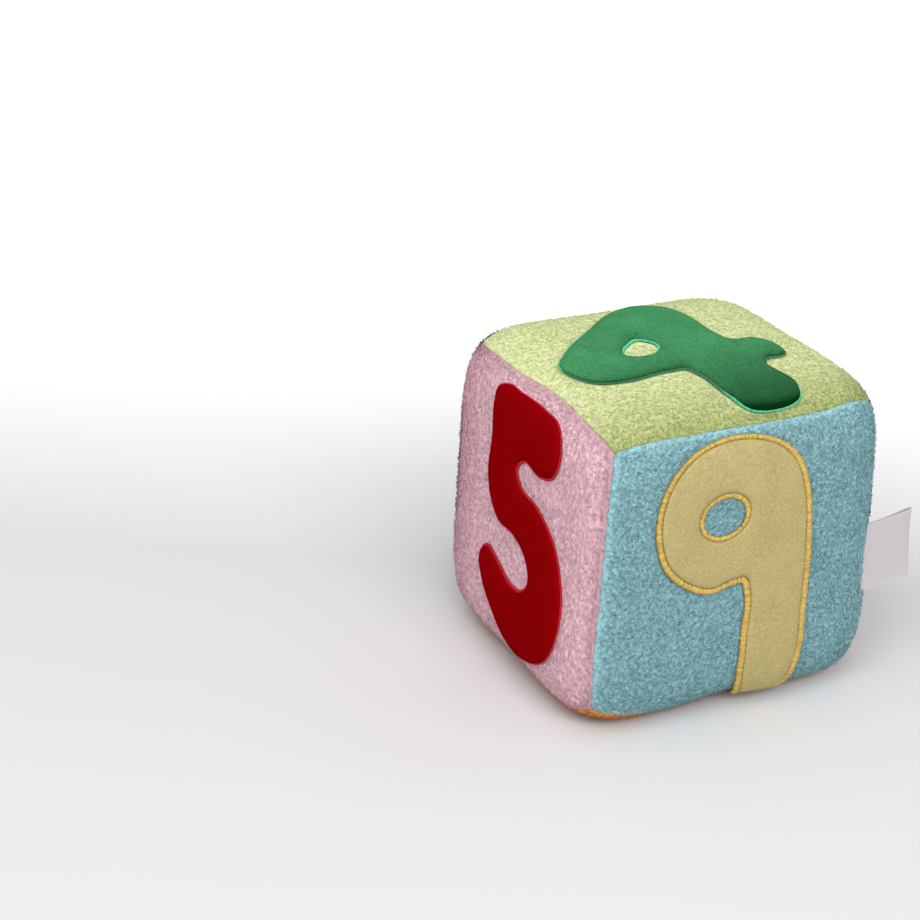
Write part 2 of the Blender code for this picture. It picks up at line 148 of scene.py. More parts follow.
# Fibre filling
FILLING_DEPTH = 0.0036
SLOT_DEPTH = 0.0080
SLOT_CLEARANCE = 0.0008
FILLING_CELLS = 36
TUFT_SIZE = 0.0040
TUFT_HEIGHT = 0.0005
WELD_DISTANCE = 0.00001

# Velour numerals. BORDER_WIDTH is the frame's, and each stitching is drawn to its own width.
BORDER_WIDTH = 0.0021
BORDER_STEP = 0.0005
STITCH_PITCH = 0.00042
STITCH_THREAD = 0.00050
VELOUR_GRID = 0.0011
ROLL_STEPS = (0.0003, 0.0008, 0.0016, 0.0028, 0.0045)
FLAT_ROLL = (0.40, 0.60, 0.74, 0.80, 0.84, 0.86)
PUFFED_ROLL = (0.75, 1.05, 1.35, 1.65, 1.90, 2.05)
ROLL_TOLERANCE_SHARE = 0.15
SMALLEST_GAP = 1e-7
STITCH_SWAY = 0.10
STITCH_SIZES = (0.94, 1.08)
STITCH_FOOT_SHARE = 0.12
STITCH_CREST_SHARE = 1.75
STITCH_STEPS = 6
STITCH_SIDES = 4

# Width and height of the satin stitching, and how puffed the velour is, by the numeral's colour
STITCHING = {
    "red": (0.0007, 0.0006, 0.5),
    "green": (0.0008, 0.0006, 1.0),
    "yellow": (0.0023, 0.0009, 0.2),
    "blue": (0.0016, 0.0011, 0.4),
}
EYE_STITCHING_SHARE = 0.75

# The 4's outer stitches are bare of velour below its foot line and, for the most part, left of its
# side line; elsewhere they take the velour's deeper tone, painted shade of velour that rolls over
# them. Each line is a share of the half size, with the width that the change takes.
BARE_FOOT_SHARES = (-0.60, 0.12)
BARE_SIDE_SHARES = (-0.25, 0.2)
BARE_SIDE_TOP_SHARE = 0.06
BARE_SIDE_TONE = 0.8

# Ribbon label, measured out from the joint that it swings on
LABEL_LEAN = math.radians(11)
LABEL_LENGTH = 0.0222
LABEL_WIDTH = 0.0250
LABEL_SLANT = 0.0014
LABEL_SWELL = 0.0009
LABEL_SWAY = 0.0007
RIBBON_THICKNESS = 0.0003
RIBBON_GAP = 0.0001
RIBBON_STATIONS = 28
RIBBON_ROWS = 40
SELVEDGE = 0.0011
FOLD_POWER = 16
SWAY_PHASE = 0.5
SWAY_TWIST = 0.4
RIBBON_CORNER = math.radians(50)

# How far from the seam the label's root presses the pile down, and how much of it is pressed
PRESSED_PILE = 0.0045
PRESSED_PILE_SHARE = 0.9

# Fleece colours as linear red, green and blue: the lit tips of the pile
FLEECE = {
    "pink": (0.93, 0.63, 0.70),
    "aqua": (0.328, 0.592, 0.635),
    "lime": (0.775, 0.83, 0.46),
    "orange": (0.86, 0.36, 0.08),
    "charcoal": (0.12, 0.11, 0.10),
    "plum": (0.16, 0.03, 0.09),
}
# How far apart each panel's nubs are, which way they are drawn out (less is longer), how dark the
# painted shade in the gaps between them is, how much paler the pile is beside a seam as painted
# light (painted shade where negative), and how high it stands
PANEL_NAPS = {
    "pink": (0.00085, (1.0, 1.0, 0.60), 0.66, -0.80, 0.0008),
    "aqua": (0.00090, (1.0, 1.0, 0.90), 0.42, 0.45, 0.0008),
    "lime": (0.00080, (1.0, 0.85, 1.0), 0.90, 0.0, 0.0006),
    "orange": (0.0010, (1.0, 1.0, 1.0), 0.42, 0.20, 0.0009),
    "charcoal": (0.0010, (1.0, 1.0, 0.8), 0.42, 0.20, 0.0009),
    "plum": (0.0010, (1.0, 1.0, 0.8), 0.42, 0.20, 0.0009),
}
# Painted shade, deepening the tone of some pile towards an edge: which way across and up, the share
# of the half size at which it starts, its power and its strength
PAINTED_SHADE_FLEECE = {
    "pink": [((1, 0), 0.55, 1.0, 0.30), ((-1, 0), 0.40, 1.0, 0.8)],
    "lime": [((0, -1), 0.34, 1.3, 1.0)],
}
# Painted shade on a numeral's velour towards an edge, in the same way
PAINTED_SHADE_VELOUR = {"lime": [((0, -1), 0.10, 1.0, 1.0)]}
VELOUR = {
    "red": (0.25, 0.0008, 0.0020),
    "green": (0.064, 0.285, 0.117),
    "yellow": (0.465, 0.387, 0.172),
    "blue": (0.33, 0.50, 0.80),
}
# How strong the grain of each velour is, and its tone in the painted shade where it leans down and
# towards some edges
VELOUR_LOOKS = {"red": (0.45, 0.6), "green": (1.0, 0.25), "yellow": (0.6, 0.75), "blue": (1.0, 0.6)}
SATIN = {
    "red": (0.50, 0.003, 0.020),
    "green": (0.080, 0.50, 0.28),
    "yellow": (0.47, 0.33, 0.085),
    "blue": (0.50, 0.66, 0.88),
}
# The painted highlight over the satin's crest and the painted shade down its sides, as tones
SATIN_HIGHLIGHT_AND_SHADE_TONES = {"red": (1.15, 0.60), "green": (1.45, 0.40), "yellow": (1.65, 0.32), "blue": (1.4, 0.5)}
SATIN_SLOTS = {
    "red": "red_satin",
    "green": "mint_satin",
    "yellow": "gold_satin",
    "blue": "blue_satin",
}
THREAD_COLOUR = (0.45, 0.43, 0.40)
FILLING_COLOURS = ((0.74, 0.73, 0.70), (0.92, 0.92, 0.90))
RIBBON_COLOURS = ((0.51, 0.475, 0.495), (0.62, 0.59, 0.605))
FLOOR_COLOURS = ((0.72, 0.715, 0.725), (0.74, 0.735, 0.745))

# How coarse the grain of each finish is, and how high it stands
LINT_SIZE = 0.00045
CURL_SIZE = 0.0016
CURL_REACH = 0.0012
FLEECE_PATCH_SIZE = 0.012
FLEECE_NUB_HEIGHT = 0.0004
NAP_WANDER_SIZE = 0.0010
VELOUR_GRAIN_SIZE = 0.00045
VELOUR_SPECK_SIZE = 0.0010
BRUSH_MARK_SIZE = 0.009
VELOUR_GRAIN_HEIGHT = 0.00015
SATIN_PATCH_SIZE = 0.0009
SATIN_FIBRE_SIZE = 0.00012
THREAD_TWIST_SIZE = 0.00015
THREAD_GRAIN_HEIGHT = 0.00005
WISP_SIZE = 0.0011
WISP_HEIGHT = 0.0006
RIBBON_RIB_SCALE = 700.0
RIBBON_YARN_SIZE = 0.0002
RIBBON_GRAIN_HEIGHT = 0.00008
FLOOR_PATCH_SIZE = 0.25

# Stage: the place, aim, size and power of each lamp, the room's light, and the painted glow of the
# floor behind the block, which starts this far out in this direction
LAMPS = {
    "key": ((-0.82, -0.66, 1.15), (0, 0, 0.05), (0.9, 0.9), 9.5),
    "front": ((-0.22, -1.25, 1.02), (0, 0, 0.05), (1.0, 0.6), 11.2),
    "overhead": ((-0.2, -0.2, 1.5), (0, 0, 0), (1.0, 1.0), 2.5),
}
ROOM_COLOUR = (1.0, 0.99, 1.0, 1)
ROOM_STRENGTH = 0.50
FLOOR_REACH = 6
GLOW_DIRECTION = (0.477, 0.879, 0.0)
GLOW_START = 0.05
GLOW_STEEPNESS = 4.0
GLOW_COLOUR = (0.55, 0.55, 0.55)

# The directions of each panel's right and upper sides, for someone who looks at it
PANEL_SIDES = {
    "pink": ((0, -1, 0), (0, 0, 1)),
    "aqua": ((1, 0, 0), (0, 0, 1)),
    "lime": ((1, 0, 0), (0, 1, 0)),
    "orange": ((1, 0, 0), (0, -1, 0)),
    "charcoal": ((-1, 0, 0), (0, 0, 1)),
    "plum": ((0, 1, 0), (0, 0, 1)),
}

# Middle lines of the satin borders, as shares of the panel's half size, right and up.
# Outer lines run clockwise and eyes the other way, so the right side is always on the numeral.
FIVE_SHARES = [
    (-0.23, 0.84), (-0.05, 0.84), (0.24, 0.83), (0.40, 0.81), (0.48, 0.71), (0.45, 0.54),
    (0.31, 0.48), (0.11, 0.49), (0.03, 0.39), (0.09, 0.31), (0.31, 0.26), (0.51, 0.14),
    (0.62, -0.05), (0.65, -0.33), (0.56, -0.57), (0.34, -0.72), (0.15, -0.77), (0.04, -0.74),
    (-0.14, -0.60), (-0.27, -0.46), (-0.32, -0.33), (-0.25, -0.24), (-0.12, -0.28),
    (0.05, -0.35), (0.21, -0.33), (0.29, -0.22), (0.22, -0.07), (0.07, 0.00), (-0.14, 0.02),
    (-0.23, 0.11), (-0.27, 0.21), (-0.26, 0.50), (-0.29, 0.70), (-0.29, 0.80),
]
FOUR_SHARES = [
    (-0.02, 0.64), (0.07, 0.66), (0.18, 0.62), (0.27, 0.53), (0.31, 0.40), (0.32, 0.08),
    (0.35, -0.03), (0.46, -0.05), (0.50, -0.08), (0.55, -0.26), (0.54, -0.30), (0.51, -0.32),
    (0.41, -0.32), (0.37, -0.36), (0.38, -0.72), (0.34, -0.85), (0.17, -0.91), (0.02, -0.87),
    (-0.04, -0.70), (-0.06, -0.38), (-0.09, -0.29), (-0.20, -0.28), (-0.54, -0.32),
    (-0.69, -0.28), (-0.77, -0.16), (-0.77, 0.02), (-0.67, 0.12), (-0.35, 0.39),
]
FOUR_EYE_SHARES = [
    (-0.13, 0.20), (-0.23, 0.15), (-0.31, 0.06), (-0.32, -0.03), (-0.23, -0.06), (-0.12, -0.01),
    (-0.07, 0.06), (-0.08, 0.15),
]
NINE_SHARES = [
    (-0.19, 0.90), (0.00, 0.88), (0.16, 0.80), (0.27, 0.67), (0.34, 0.48), (0.39, 0.15),
    (0.41, -0.30), (0.42, -0.66), (0.38, -0.84), (0.30, -0.93), (0.20, -0.95), (0.12, -0.92),
    (0.07, -0.80), (0.03, -0.45), (0.01, -0.12), (-0.02, -0.05), (-0.09, -0.05), (-0.22, -0.08),
    (-0.40, -0.01), (-0.54, 0.13), (-0.60, 0.29), (-0.61, 0.48), (-0.55, 0.67), (-0.43, 0.81),
]
NINE_EYE_SHARES = (-0.19, 0.385, 0.150, 0.135)
SEVEN_SHARES = [
    (-0.42, 0.84), (0.00, 0.87), (0.37, 0.86), (0.50, 0.77), (0.51, 0.61), (0.43, 0.38),
    (0.28, 0.02), (0.17, -0.40), (0.11, -0.73), (0.02, -0.87), (-0.14, -0.91), (-0.30, -0.84),
    (-0.35, -0.67), (-0.28, -0.30), (-0.14, 0.06), (0.03, 0.36), (0.03, 0.46), (-0.06, 0.49),
    (-0.38, 0.49), (-0.51, 0.57), (-0.53, 0.72),
]
# One side of the eight, from its top to its foot
EIGHT_SIDE_SHARES = [
    (0.13, 0.80), (0.34, 0.72), (0.45, 0.54), (0.42, 0.31), (0.38, 0.13), (0.46, -0.02),
    (0.56, -0.24), (0.56, -0.48), (0.44, -0.73), (0.17, -0.89),
]
EIGHT_UPPER_EYE_SHARES = (0.0, 0.42, 0.14, 0.13)
EIGHT_LOWER_EYE_SHARES = (0.0, -0.42, 0.19, 0.19)
SIX_REACH_SHARE = 0.74
SIX_RISE_SHARE = 0.03
EYE_KNOTS = 14


# Node trees: expressions on wires add Math nodes, and one method adds any other node


class Wire:
    """The output of a node. Arithmetic on it adds Math nodes to its tree."""

    def __init__(self, tree, socket):
        self.tree = tree
        self.socket = socket

    def math(self, operation, first, second):
        return self.tree.node("ShaderNodeMath", {"operation": operation}, {0: first, 1: second})

    def __add__(self, other):
        return self.math("ADD", self, other)

    def __sub__(self, other):
        return self.math("SUBTRACT", self, other)

    def __rsub__(self, other):
        return self.math("SUBTRACT", other, self)

    def __mul__(self, other):
        return self.math("MULTIPLY", self, other)

    def __rtruediv__(self, other):
        return self.math("DIVIDE", other, self)

    def __abs__(self):
        return self.math("ABSOLUTE", self, 0)

    __radd__ = __add__
    __rmul__ = __mul__

    def output(self, name):
        return Wire(self.tree, self.socket.node.outputs[name])


class Tree:
    """A shader or geometry node tree."""

    def __init__(self, nodes_and_links):
        self.made = nodes_and_links

    def node(self, kind, settings=None, values=None):
        """Adds a node: its settings first, then the values or links of its sockets."""
        node = self.made.nodes.new(kind)
        for name, value in (settings or {}).items():
            setattr(node, name, value)
        for name, value in (values or {}).items():
            if isinstance(value, Wire):
                self.made.links.new(value.socket, node.inputs[name])
            else:
                node.inputs[name].default_value = value
        outputs = [socket for socket in node.outputs if socket.enabled]
        return Wire(self, outputs[0]) if outputs else None

    def mix(self, share, first, second):
        """One colour turning into another as share goes from 0 to 1."""
        first, second = [
            (*colour, 1) if isinstance(colour, tuple) else colour for colour in (first, second)
        ]
        return self.node("ShaderNodeMix", {"data_type": "RGBA"}, {0: share, 6: first, 7: second})

    def vector(self, operation, first, second):
        return self.node("ShaderNodeVectorMath", {"operation": operation}, {0: first, 1: second})

    def noise(self, place, size, detail=2.0):
        """Soft noise from 0 to 1 whose lumps are about this size."""
        return self.node(
            "ShaderNodeTexNoise", None, {"Vector": place, "Scale": 1 / size, "Detail": detail}
        )

    def clamp(self, value):
        return self.node("ShaderNodeClamp", None, {"Value": value})

    def xyz(self, **parts):
        return self.node("ShaderNodeCombineXYZ", None, parts)

    def random(self, least, most, seed):
        values = {2: least, 3: most, "Seed": seed}
        return self.node("FunctionNodeRandomValue", {"data_type": "FLOAT"}, values)

    def kept(self, geometry, name, value):
        """The geometry, with a number kept for each point under this name."""
        return self.node(
            "GeometryNodeStoreNamedAttribute",
            {"data_type": "FLOAT", "domain": "POINT"},
            {"Geometry": geometry, "Name": name, "Value": value},
        )

    def recalled(self, name):
        return self.node("GeometryNodeInputNamedAttribute", {"data_type": "FLOAT"}, {"Name": name})

    def turned(self, rotation, turn):
        values = {"Rotation": rotation, "Rotate By": turn}
        return self.node("FunctionNodeRotateRotation", {"rotation_space": "LOCAL"}, values)

    def strand(self, line, sides, width):
        """A round closed strand along a line."""
        values = {"Resolution": sides, "Radius": width * 0.5}
        section = self.node("GeometryNodeCurvePrimitiveCircle", {"mode": "RADIUS"}, values)
        values = {"Curve": line, "Profile Curve": section, "Fill Caps": True}
        return self.node("GeometryNodeCurveToMesh", None, values)

    def copies(self, points, shape, rotation, size):
        values = {"Points": points, "Instance": shape, "Rotation": rotation, "Scale": size}
        return self.node("GeometryNodeInstanceOnPoints", None, values)


def new_geometry_tree(name, inputs):
    """A geometry tree with these named inputs, as (tree, wires of the inputs by name)."""
    group = bpy.data.node_groups.new(name, "GeometryNodeTree")
    group.interface.new_socket("Geometry", in_out="INPUT", socket_type="NodeSocketGeometry")
    group.interface.new_socket("Geometry", in_out="OUTPUT", socket_type="NodeSocketGeometry")
    for label, kind in inputs.items():
        group.interface.new_socket(label, in_out="INPUT", socket_type="NodeSocket" + kind)
    tree = Tree(group)
    first = tree.node("NodeGroupInput")
    return tree, {label: first.output(label) for label in ["Geometry", *inputs]}


def close_geometry_tree(tree, geometry, finish):
    """Ends a tree in real meshes with their material."""
    real = tree.node("GeometryNodeRealizeInstances", None, {"Geometry": geometry})
    smooth = tree.node("GeometryNodeSetShadeSmooth", None, {"Geometry": real})
    done = tree.node("GeometryNodeSetMaterial", None, {"Geometry": smooth, "Material": finish})
    tree.node("NodeGroupOutput", None, {"Geometry": done})
    return tree.made


def linked(name, data):
    """A new object in the scene."""
    made = bpy.data.objects.new(name, data)
    bpy.context.scene.collection.objects.link(made)
    return made


def grown(mesh, group, values):
    """The plain mesh that a geometry tree makes from this one."""
    holder = linked("holder", mesh)
    modifier = holder.modifiers.new("nodes", "NODES")
    modifier.node_group = group
    for item in group.interface.items_tree:
        if item.in_out == "INPUT" and item.name in values:
            modifier[item.identifier] = values[item.name]
    depsgraph = bpy.context.evaluated_depsgraph_get()
    made = bpy.data.meshes.new_from_object(
        holder.evaluated_get(depsgraph), preserve_all_data_layers=True, depsgraph=depsgraph
    )
    bpy.data.objects.remove(holder)
    return made


# Materials



class Finish(Tree):
    """A Principled material. Its patterns read the object's own coordinates."""

    def __init__(self, name, roughness, sheen=0.0, specular=0.5):
        self.material = bpy.data.materials.new(name + "_finish")
        self.material.use_nodes = True
        super().__init__(self.material.node_tree)
        self.shader = self.made.nodes["Principled BSDF"]
        self.shader.inputs["Roughness"].default_value = roughness
        self.shader.inputs["Sheen Weight"].default_value = sheen
        self.shader.inputs["Sheen Roughness"].default_value = 0.5
        self.shader.inputs["Specular IOR Level"].default_value = specular
        self.place = self.node("ShaderNodeTexCoord").output("Object")

    def feed(self, name, wire):
        self.made.links.new(wire.socket, self.shader.inputs[name])

    def bump(self, height, strength, distance):
        values = {"Strength": strength, "Distance": distance, "Height": height}
        self.feed("Normal", self.node("ShaderNodeBump", None, values))

    def attribute(self, name):
        return self.node("ShaderNodeAttribute", {"attribute_name": name}).output("Fac")


def toned(colour, tone, power=1.0):
    """The colour, paler or deeper by this tone. A power over 1 makes it more vivid too."""
    return tuple(min(1.0, tone * part ** power) for part in colour)


def fleece_material(name, tips, nub_size, stretch, gap_shade_tone, seam_light_tone):
    """Brushed pile: painted highlight on its nub tips, painted shade in the gaps between them."""
    finish = Finish(name, 0.95, sheen=0.10, specular=0.04)
    combed = finish.vector("MULTIPLY", finish.place, stretch)
    wander = finish.noise(combed, CURL_SIZE).output("Color")
    strayed = finish.vector("ADD", combed, finish.vector("MULTIPLY", wander, (CURL_REACH,) * 3))
    values = {"Vector": strayed, "Scale": 1 / nub_size}
    curl = finish.node("ShaderNodeTexVoronoi", {"feature": "F1"}, values)
    # Nubs in the colour only: a painted highlight on their tips, painted shade in the gaps
    tip = finish.clamp(1.15 - curl * 1.5)
    lint = finish.noise(finish.place, LINT_SIZE)
    patch = finish.noise(finish.place, FLEECE_PATCH_SIZE)
    grain = (lint - 0.5) * 1.5 + (patch - 0.5) * 0.25
    # Painted light beside the seams, and painted shade there where the tone is negative
    painted_seam_tone = finish.attribute("seam_light_and_shade") * seam_light_tone
    # Painted shade towards the edges listed for it
    painted_shade = finish.attribute("painted_shade")
    height = tip * 0.5 + finish.attribute("nap") * 0.55 + grain + painted_seam_tone - painted_shade * 0.25
    # The painted highlight of the tips and the painted shade of the gaps
    tip_highlight = finish.mix(painted_shade, tips, toned(tips, 0.88, 1.6))
    gap_shade = finish.mix(painted_shade, toned(tips, gap_shade_tone, 1.15), toned(tips, 0.42, 1.9))
    finish.feed("Base Color", finish.mix(finish.clamp(height), gap_shade, tip_highlight))
    finish.bump(tip * 0.7 + lint * 0.5, 0.75 * (1 - gap_shade_tone) + 0.15, FLEECE_NUB_HEIGHT)
    return finish.material


def velour_material(name, colour, grain_strength, lean_shade_tone):
    """Short smooth pile with a fine grain, faint brush marks and painted shade where it leans down.
    """
    finish = Finish(name, 0.90, sheen=0.04, specular=0.0)
    light = toned(colour, 1.35)
    finish.shader.inputs["Sheen Tint"].default_value = (*light, 1)
    grain = finish.noise(finish.place, VELOUR_GRAIN_SIZE, 3)
    speck = finish.noise(finish.place, VELOUR_SPECK_SIZE)
    brushed = finish.noise(finish.place, BRUSH_MARK_SIZE, 3)
    share = (grain - 0.5) * 1.9 + (speck - 0.5) * 0.8 + (brushed - 0.5) * 0.5
    grained = finish.mix(finish.clamp(share * grain_strength + 0.5), toned(colour, 0.55), light)
    # Painted shade where the velour leans down towards the front, and towards the edges listed for it
    lean = finish.clamp(finish.attribute("lean") * 0.55 + finish.attribute("painted_shade") * 0.95)
    lean_shade_colour = toned(colour, lean_shade_tone, 2 - lean_shade_tone)
    finish.feed("Base Color", finish.mix(lean, grained, lean_shade_colour))
    finish.bump(grain, 0.5, VELOUR_GRAIN_HEIGHT)
    return finish.material


def satin_material(name, colour, highlight_tone, side_shade_tone, covered):
    """Glossy embroidery thread, a little uneven from strand to strand, with painted highlight along
    its crest, painted shade down its sides, and the velour's deeper tone, painted shade, where
    covered."""
    finish = Finish(name, 0.40, specular=0.25)
    strand = finish.attribute("strand")
    patch = finish.noise(finish.place, SATIN_PATCH_SIZE)
    # Painted highlight along the crest, painted shade down the sides
    crest = finish.clamp(finish.attribute("crest") * 2.0)
    share = finish.clamp(crest * 0.7 + strand * 0.3 + (patch - 0.5) * 1.1 - 0.1)
    bare = finish.mix(share, toned(colour, side_shade_tone), toned(colour, highlight_tone))
    # The velour's deeper tone, a painted shade, where the stitches count as covered
    finish.feed("Base Color", finish.mix(finish.attribute("velour_cover_shade"), bare, covered))
    finish.feed("Roughness", strand * 0.15 + 0.28)
    finish.bump(finish.noise(finish.place, SATIN_FIBRE_SIZE, 1), 0.25, THREAD_GRAIN_HEIGHT)
    return finish.material


def thread_material(name, colour):
    finish = Finish(name, 0.6)
    twist = finish.noise(finish.place, THREAD_TWIST_SIZE, 1)
    finish.feed("Base Color", finish.mix(twist, toned(colour, 0.7), colour))
    finish.bump(twist, 0.4, THREAD_GRAIN_HEIGHT)
    return finish.material


def filling_material(name):
    finish = Finish(name, 0.9, sheen=0.3)
    wisps = finish.noise(finish.place, WISP_SIZE, 4)
    finish.feed("Base Color", finish.mix(wisps, *FILLING_COLOURS))
    finish.bump(wisps, 0.8, WISP_HEIGHT)
    return finish.material


def ribbon_material(name):
    """Woven ribbon: fine ribs along its length, crossing yarns, and firmer edges."""
    finish = Finish(name, 0.55, sheen=0.1, specular=0.3)
    values = {"Vector": finish.place, "Scale": RIBBON_RIB_SCALE, "Distortion": 0.4}
    ribs = finish.node("ShaderNodeTexWave", {"bands_direction": "Z"}, values)
    yarn = finish.noise(finish.place, RIBBON_YARN_SIZE)
    share = finish.clamp(ribs * 0.3 + yarn * 0.5 + finish.attribute("selvedge") * 0.3)
    finish.feed("Base Color", finish.mix(share, *RIBBON_COLOURS))
    finish.bump(share, 0.4, RIBBON_GRAIN_HEIGHT)
    return finish.material


# The stuffed shape


def soft_shifts(units, shifts):
    """The sum of the shifts, each fading with the distance from its place on the unit cube."""
    total = np.zeros(units.shape)
    for place, reach, shift in shifts:
        away = sum((units[:, i] - at) ** 2 for i, at in enumerate(place) if at is not None)
        total += np.exp(-away / reach ** 2)[:, None] * shift
    return total


def skin(units, lifts):
    """The points that lie lifts outside the stuffed skin, for points of the unit cube's surface.
    Nothing reaches below the floor, where the layers press flat."""
    slid = units + soft_shifts(units, SLIDES)
    share = (np.abs(slid) ** ROUNDNESS_POWER).sum(axis=1) ** (-1 / ROUNDNESS_POWER)
    points = slid * share[:, None] * (HALF_SIZE + lifts[:, None]) + soft_shifts(units, PULLS)
    pressed = np.maximum(APPLIQUE_LIFT - lifts, 0)
    points[:, 2] = np.maximum(points[:, 2] + CENTRE_HEIGHT, pressed)
    return points


def panel_points(panel, across, up, lifts):
    """Skin points at shares across and up a panel, counted from its middle."""
    right_side, upper_side = np.array(PANEL_SIDES[panel], float)
    facing = np.cross(right_side, upper_side)
    return skin(facing + np.outer(across, right_side) + np.outer(up, upper_side), lifts)


def half_sizes(panel):
    """Half the panel's size across and up."""
    return np.abs(np.array(PANEL_SIDES[panel])) @ HALF_SIZE


def share_beside_seam(distance, depth):
    """The share at which a layer at this depth lies this far from the plane through a seam."""
    return 1 - math.sqrt(2) * distance / (EDGE_SHARE * (min(HALF_SIZE) - depth))


def coordinates(mesh):
    places = np.empty(len(mesh.vertices) * 3)
    mesh.vertices.foreach_get("co", places)
    return places.reshape(-1, 3)


def place_vertices(mesh, points):
    mesh.vertices.foreach_set("co", np.asarray(points, float).ravel())
    mesh.update()


def lay_on_panel(mesh, panel):
    """Carries a mesh drawn flat, in metres from the panel's middle, onto the panel."""
    flat = coordinates(mesh)
    half_across, half_up = half_sizes(panel)
    points = panel_points(panel, flat[:, 0] / half_across, flat[:, 1] / half_up, flat[:, 2])
    place_vertices(mesh, points)


def store(mesh, name, values):
    """Keeps one number for each vertex of the mesh."""
    kept = mesh.attributes.new(name, "FLOAT", "POINT")
    kept.data.foreach_set("value", np.asarray(values, np.float32))


def face_outward(mesh):
    bm = bmesh.new()
    bm.from_mesh(mesh)
    bmesh.ops.recalc_face_normals(bm, faces=bm.faces)
    bm.to_mesh(mesh)
    bm.free()


def add_piece(name, mesh, slot, node=None, body="block"):
    """A piece whose mesh is already in place, and the node of the frame that it replaces, if any.
    Nothing of it goes under the floor."""
    points = coordinates(mesh)
    points[:, 2] = np.maximum(points[:, 2], 0)
    place_vertices(mesh, points)
    piece = linked(name, mesh)
    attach(piece, body)
    if node:
        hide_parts(node)
    return piece


# Outlines of the numerals


def eye_line(shares):
    """A round or oval eye, the other way round from the clockwise outer line."""
    across, up, wide, high = shares
    turns = [2 * math.pi * step / EYE_KNOTS for step in range(EYE_KNOTS)]
    return [(across + wide * math.cos(turn), up + high * math.sin(turn)) for turn in turns]


def turned_half_round(line):
    return [(-SIX_REACH_SHARE * x, SIX_RISE_SHARE - SIX_REACH_SHARE * y) for x, y in line]


def mirrored(side):
    return side + [(-x, y) for x, y in reversed(side)]


NUMERALS = {
    "pink": ("5", "red", [FIVE_SHARES]),
    "lime": ("4", "green", [FOUR_SHARES, FOUR_EYE_SHARES]),
    "aqua": ("9", "yellow", [NINE_SHARES, eye_line(NINE_EYE_SHARES)]),
    "orange": (
        "6",
        "green",
        [turned_half_round(NINE_SHARES), turned_half_round(eye_line(NINE_EYE_SHARES))],
    ),
    "charcoal": ("7", "blue", [SEVEN_SHARES]),
    "plum": (
        "8",
        "yellow",
        [
            mirrored(EIGHT_SIDE_SHARES),
            eye_line(EIGHT_UPPER_EYE_SHARES),
            eye_line(EIGHT_LOWER_EYE_SHARES),
        ],
    ),
}


def smooth_loop(knots, step):
    """A closed line of stations along a smooth curve through the knots."""
    count = len(knots)
    headings = []
    for index, knot in enumerate(knots):
        back = knot - knots[index - 1]
        ahead = knots[(index + 1) % count] - knot
        heading = ahead * (back.length / ahead.length) + back * (ahead.length / back.length)
        headings.append(heading.normalized())
    stations = []
    for index, knot in enumerate(knots):
        following = knots[(index + 1) % count]
        reach = (following - knot).length / 3
        steps = max(2, round(3 * reach / step) + 1)
        leave = knot + headings[index] * reach
        arrive = following - headings[(index + 1) % count] * reach
        stations += interpolate_bezier(knot, leave, arrive, following, steps)[:-1]
    return stations


def border_lines(panel, step=BORDER_STEP):
    """The border lines of a panel's numeral, flat, in metres from the panel's middle."""
    half_across, half_up = half_sizes(panel)
    return [
        smooth_loop([Vector((x * half_across, y * half_up)) for x, y in shares], step)
        for shares in NUMERALS[panel][2]
    ]


def inset_line(line, distance):
    """The line moved to its right, which is into the numeral's fabric."""
    moved = []
    for index, point in enumerate(line):
        heading = line[(index + 1) % len(line)] - line[index - 1]
        moved.append(point + Vector((heading.y, -heading.x)).normalized() * distance)
    return moved


class Edge:
    """Measures how far flat points lie inside the closed lines of a numeral."""

    def __init__(self, lines):
        self.stations = []
        for line in lines:
            inner = inset_line(line, 1)
            self.stations += [(point, inward - point) for point, inward in zip(line, inner)]
        self.tree = KDTree(len(self.stations))
        for index, (point, _) in enumerate(self.stations):
            self.tree.insert(point.to_3d(), index)
        self.tree.balance()

    def depth(self, across, up):
        """Distance from the nearest line, negative off the numeral."""
        place, index, distance = self.tree.find((across, up, 0))
        inward = self.stations[index][1]
        beyond = (across - place.x) * inward.x + (up - place.y) * inward.y
        return distance if beyond > 0 else -distance

    def depths(self, flat):
        return np.array([self.depth(across, up) for across, up in flat])


# Fleece panels


def grid_places(shares):
    """The shares across and up of a square grid of places."""
    across, up = np.meshgrid(shares, shares)
    return across.ravel(), up.ravel()


def outer_rings(count, rings):
    """Marks the outermost rings of such a grid, count places to a side."""
    marked = np.ones((count, count), bool)
    marked[rings:-rings, rings:-rings] = False
    return marked.ravel()


def beside_seams(across, up, width):
    """How near each place of a panel is to a seam: 1 there, falling off over this width."""
    seam = share_beside_seam(SEAM_GAP / 2, CREASE_DEPTH)
    away = 1
    for shares in (across, up):
        distance = (seam - np.abs(shares)) * min(HALF_SIZE)
        away = away * (1 - np.exp(-((distance / width) ** 2)))
    return 1 - away


def painted_shade_share(edges, across, up):
    """How much painted shade each place takes: 0 up to an edge's start, its strength there."""
    total = np.zeros(len(across))
    for (right, rise), start, power, strength in edges:
        shares = right * across + rise * up
        total += strength * np.clip((shares - start) / (1 - start), 0, 1) ** power
    return total


def grid_faces(count, first, turned):
    """Faces of a square grid of vertices, count to a side, the first of them at this index."""
    corner = first + np.arange(count - 1)[:, None] * count + np.arange(count - 1)
    order = [corner, corner + 1, corner + count + 1, corner + count]
    if turned:
        order.reverse()
    return np.stack(order, axis=-1).reshape(-1, 4).tolist()


def side_indices(count, first):
    """The vertices along each of the four sides of such a grid, in order."""
    last = count - 1
    steps = np.arange(count)
    starts = first + steps * count
    return [first + steps, starts + last, first + last * count + steps, starts]


def under_label(panel, across, up):
    """How much the label's root presses the pile of the two panels beside it, from 0 to 1."""
    if panel not in ("aqua", "plum"):
        return np.zeros(len(across))
    toward = across if panel == "aqua" else -across
    beside = np.exp(-(((1 - toward) * min(HALF_SIZE) / PRESSED_PILE) ** 2))
    height = up * HALF_SIZE[2] + CENTRE_HEIGHT - LABEL_ROOT[2]
    return beside * np.clip(3 - 2 * np.abs(height) / (LABEL_WIDTH / 2), 0, 1)


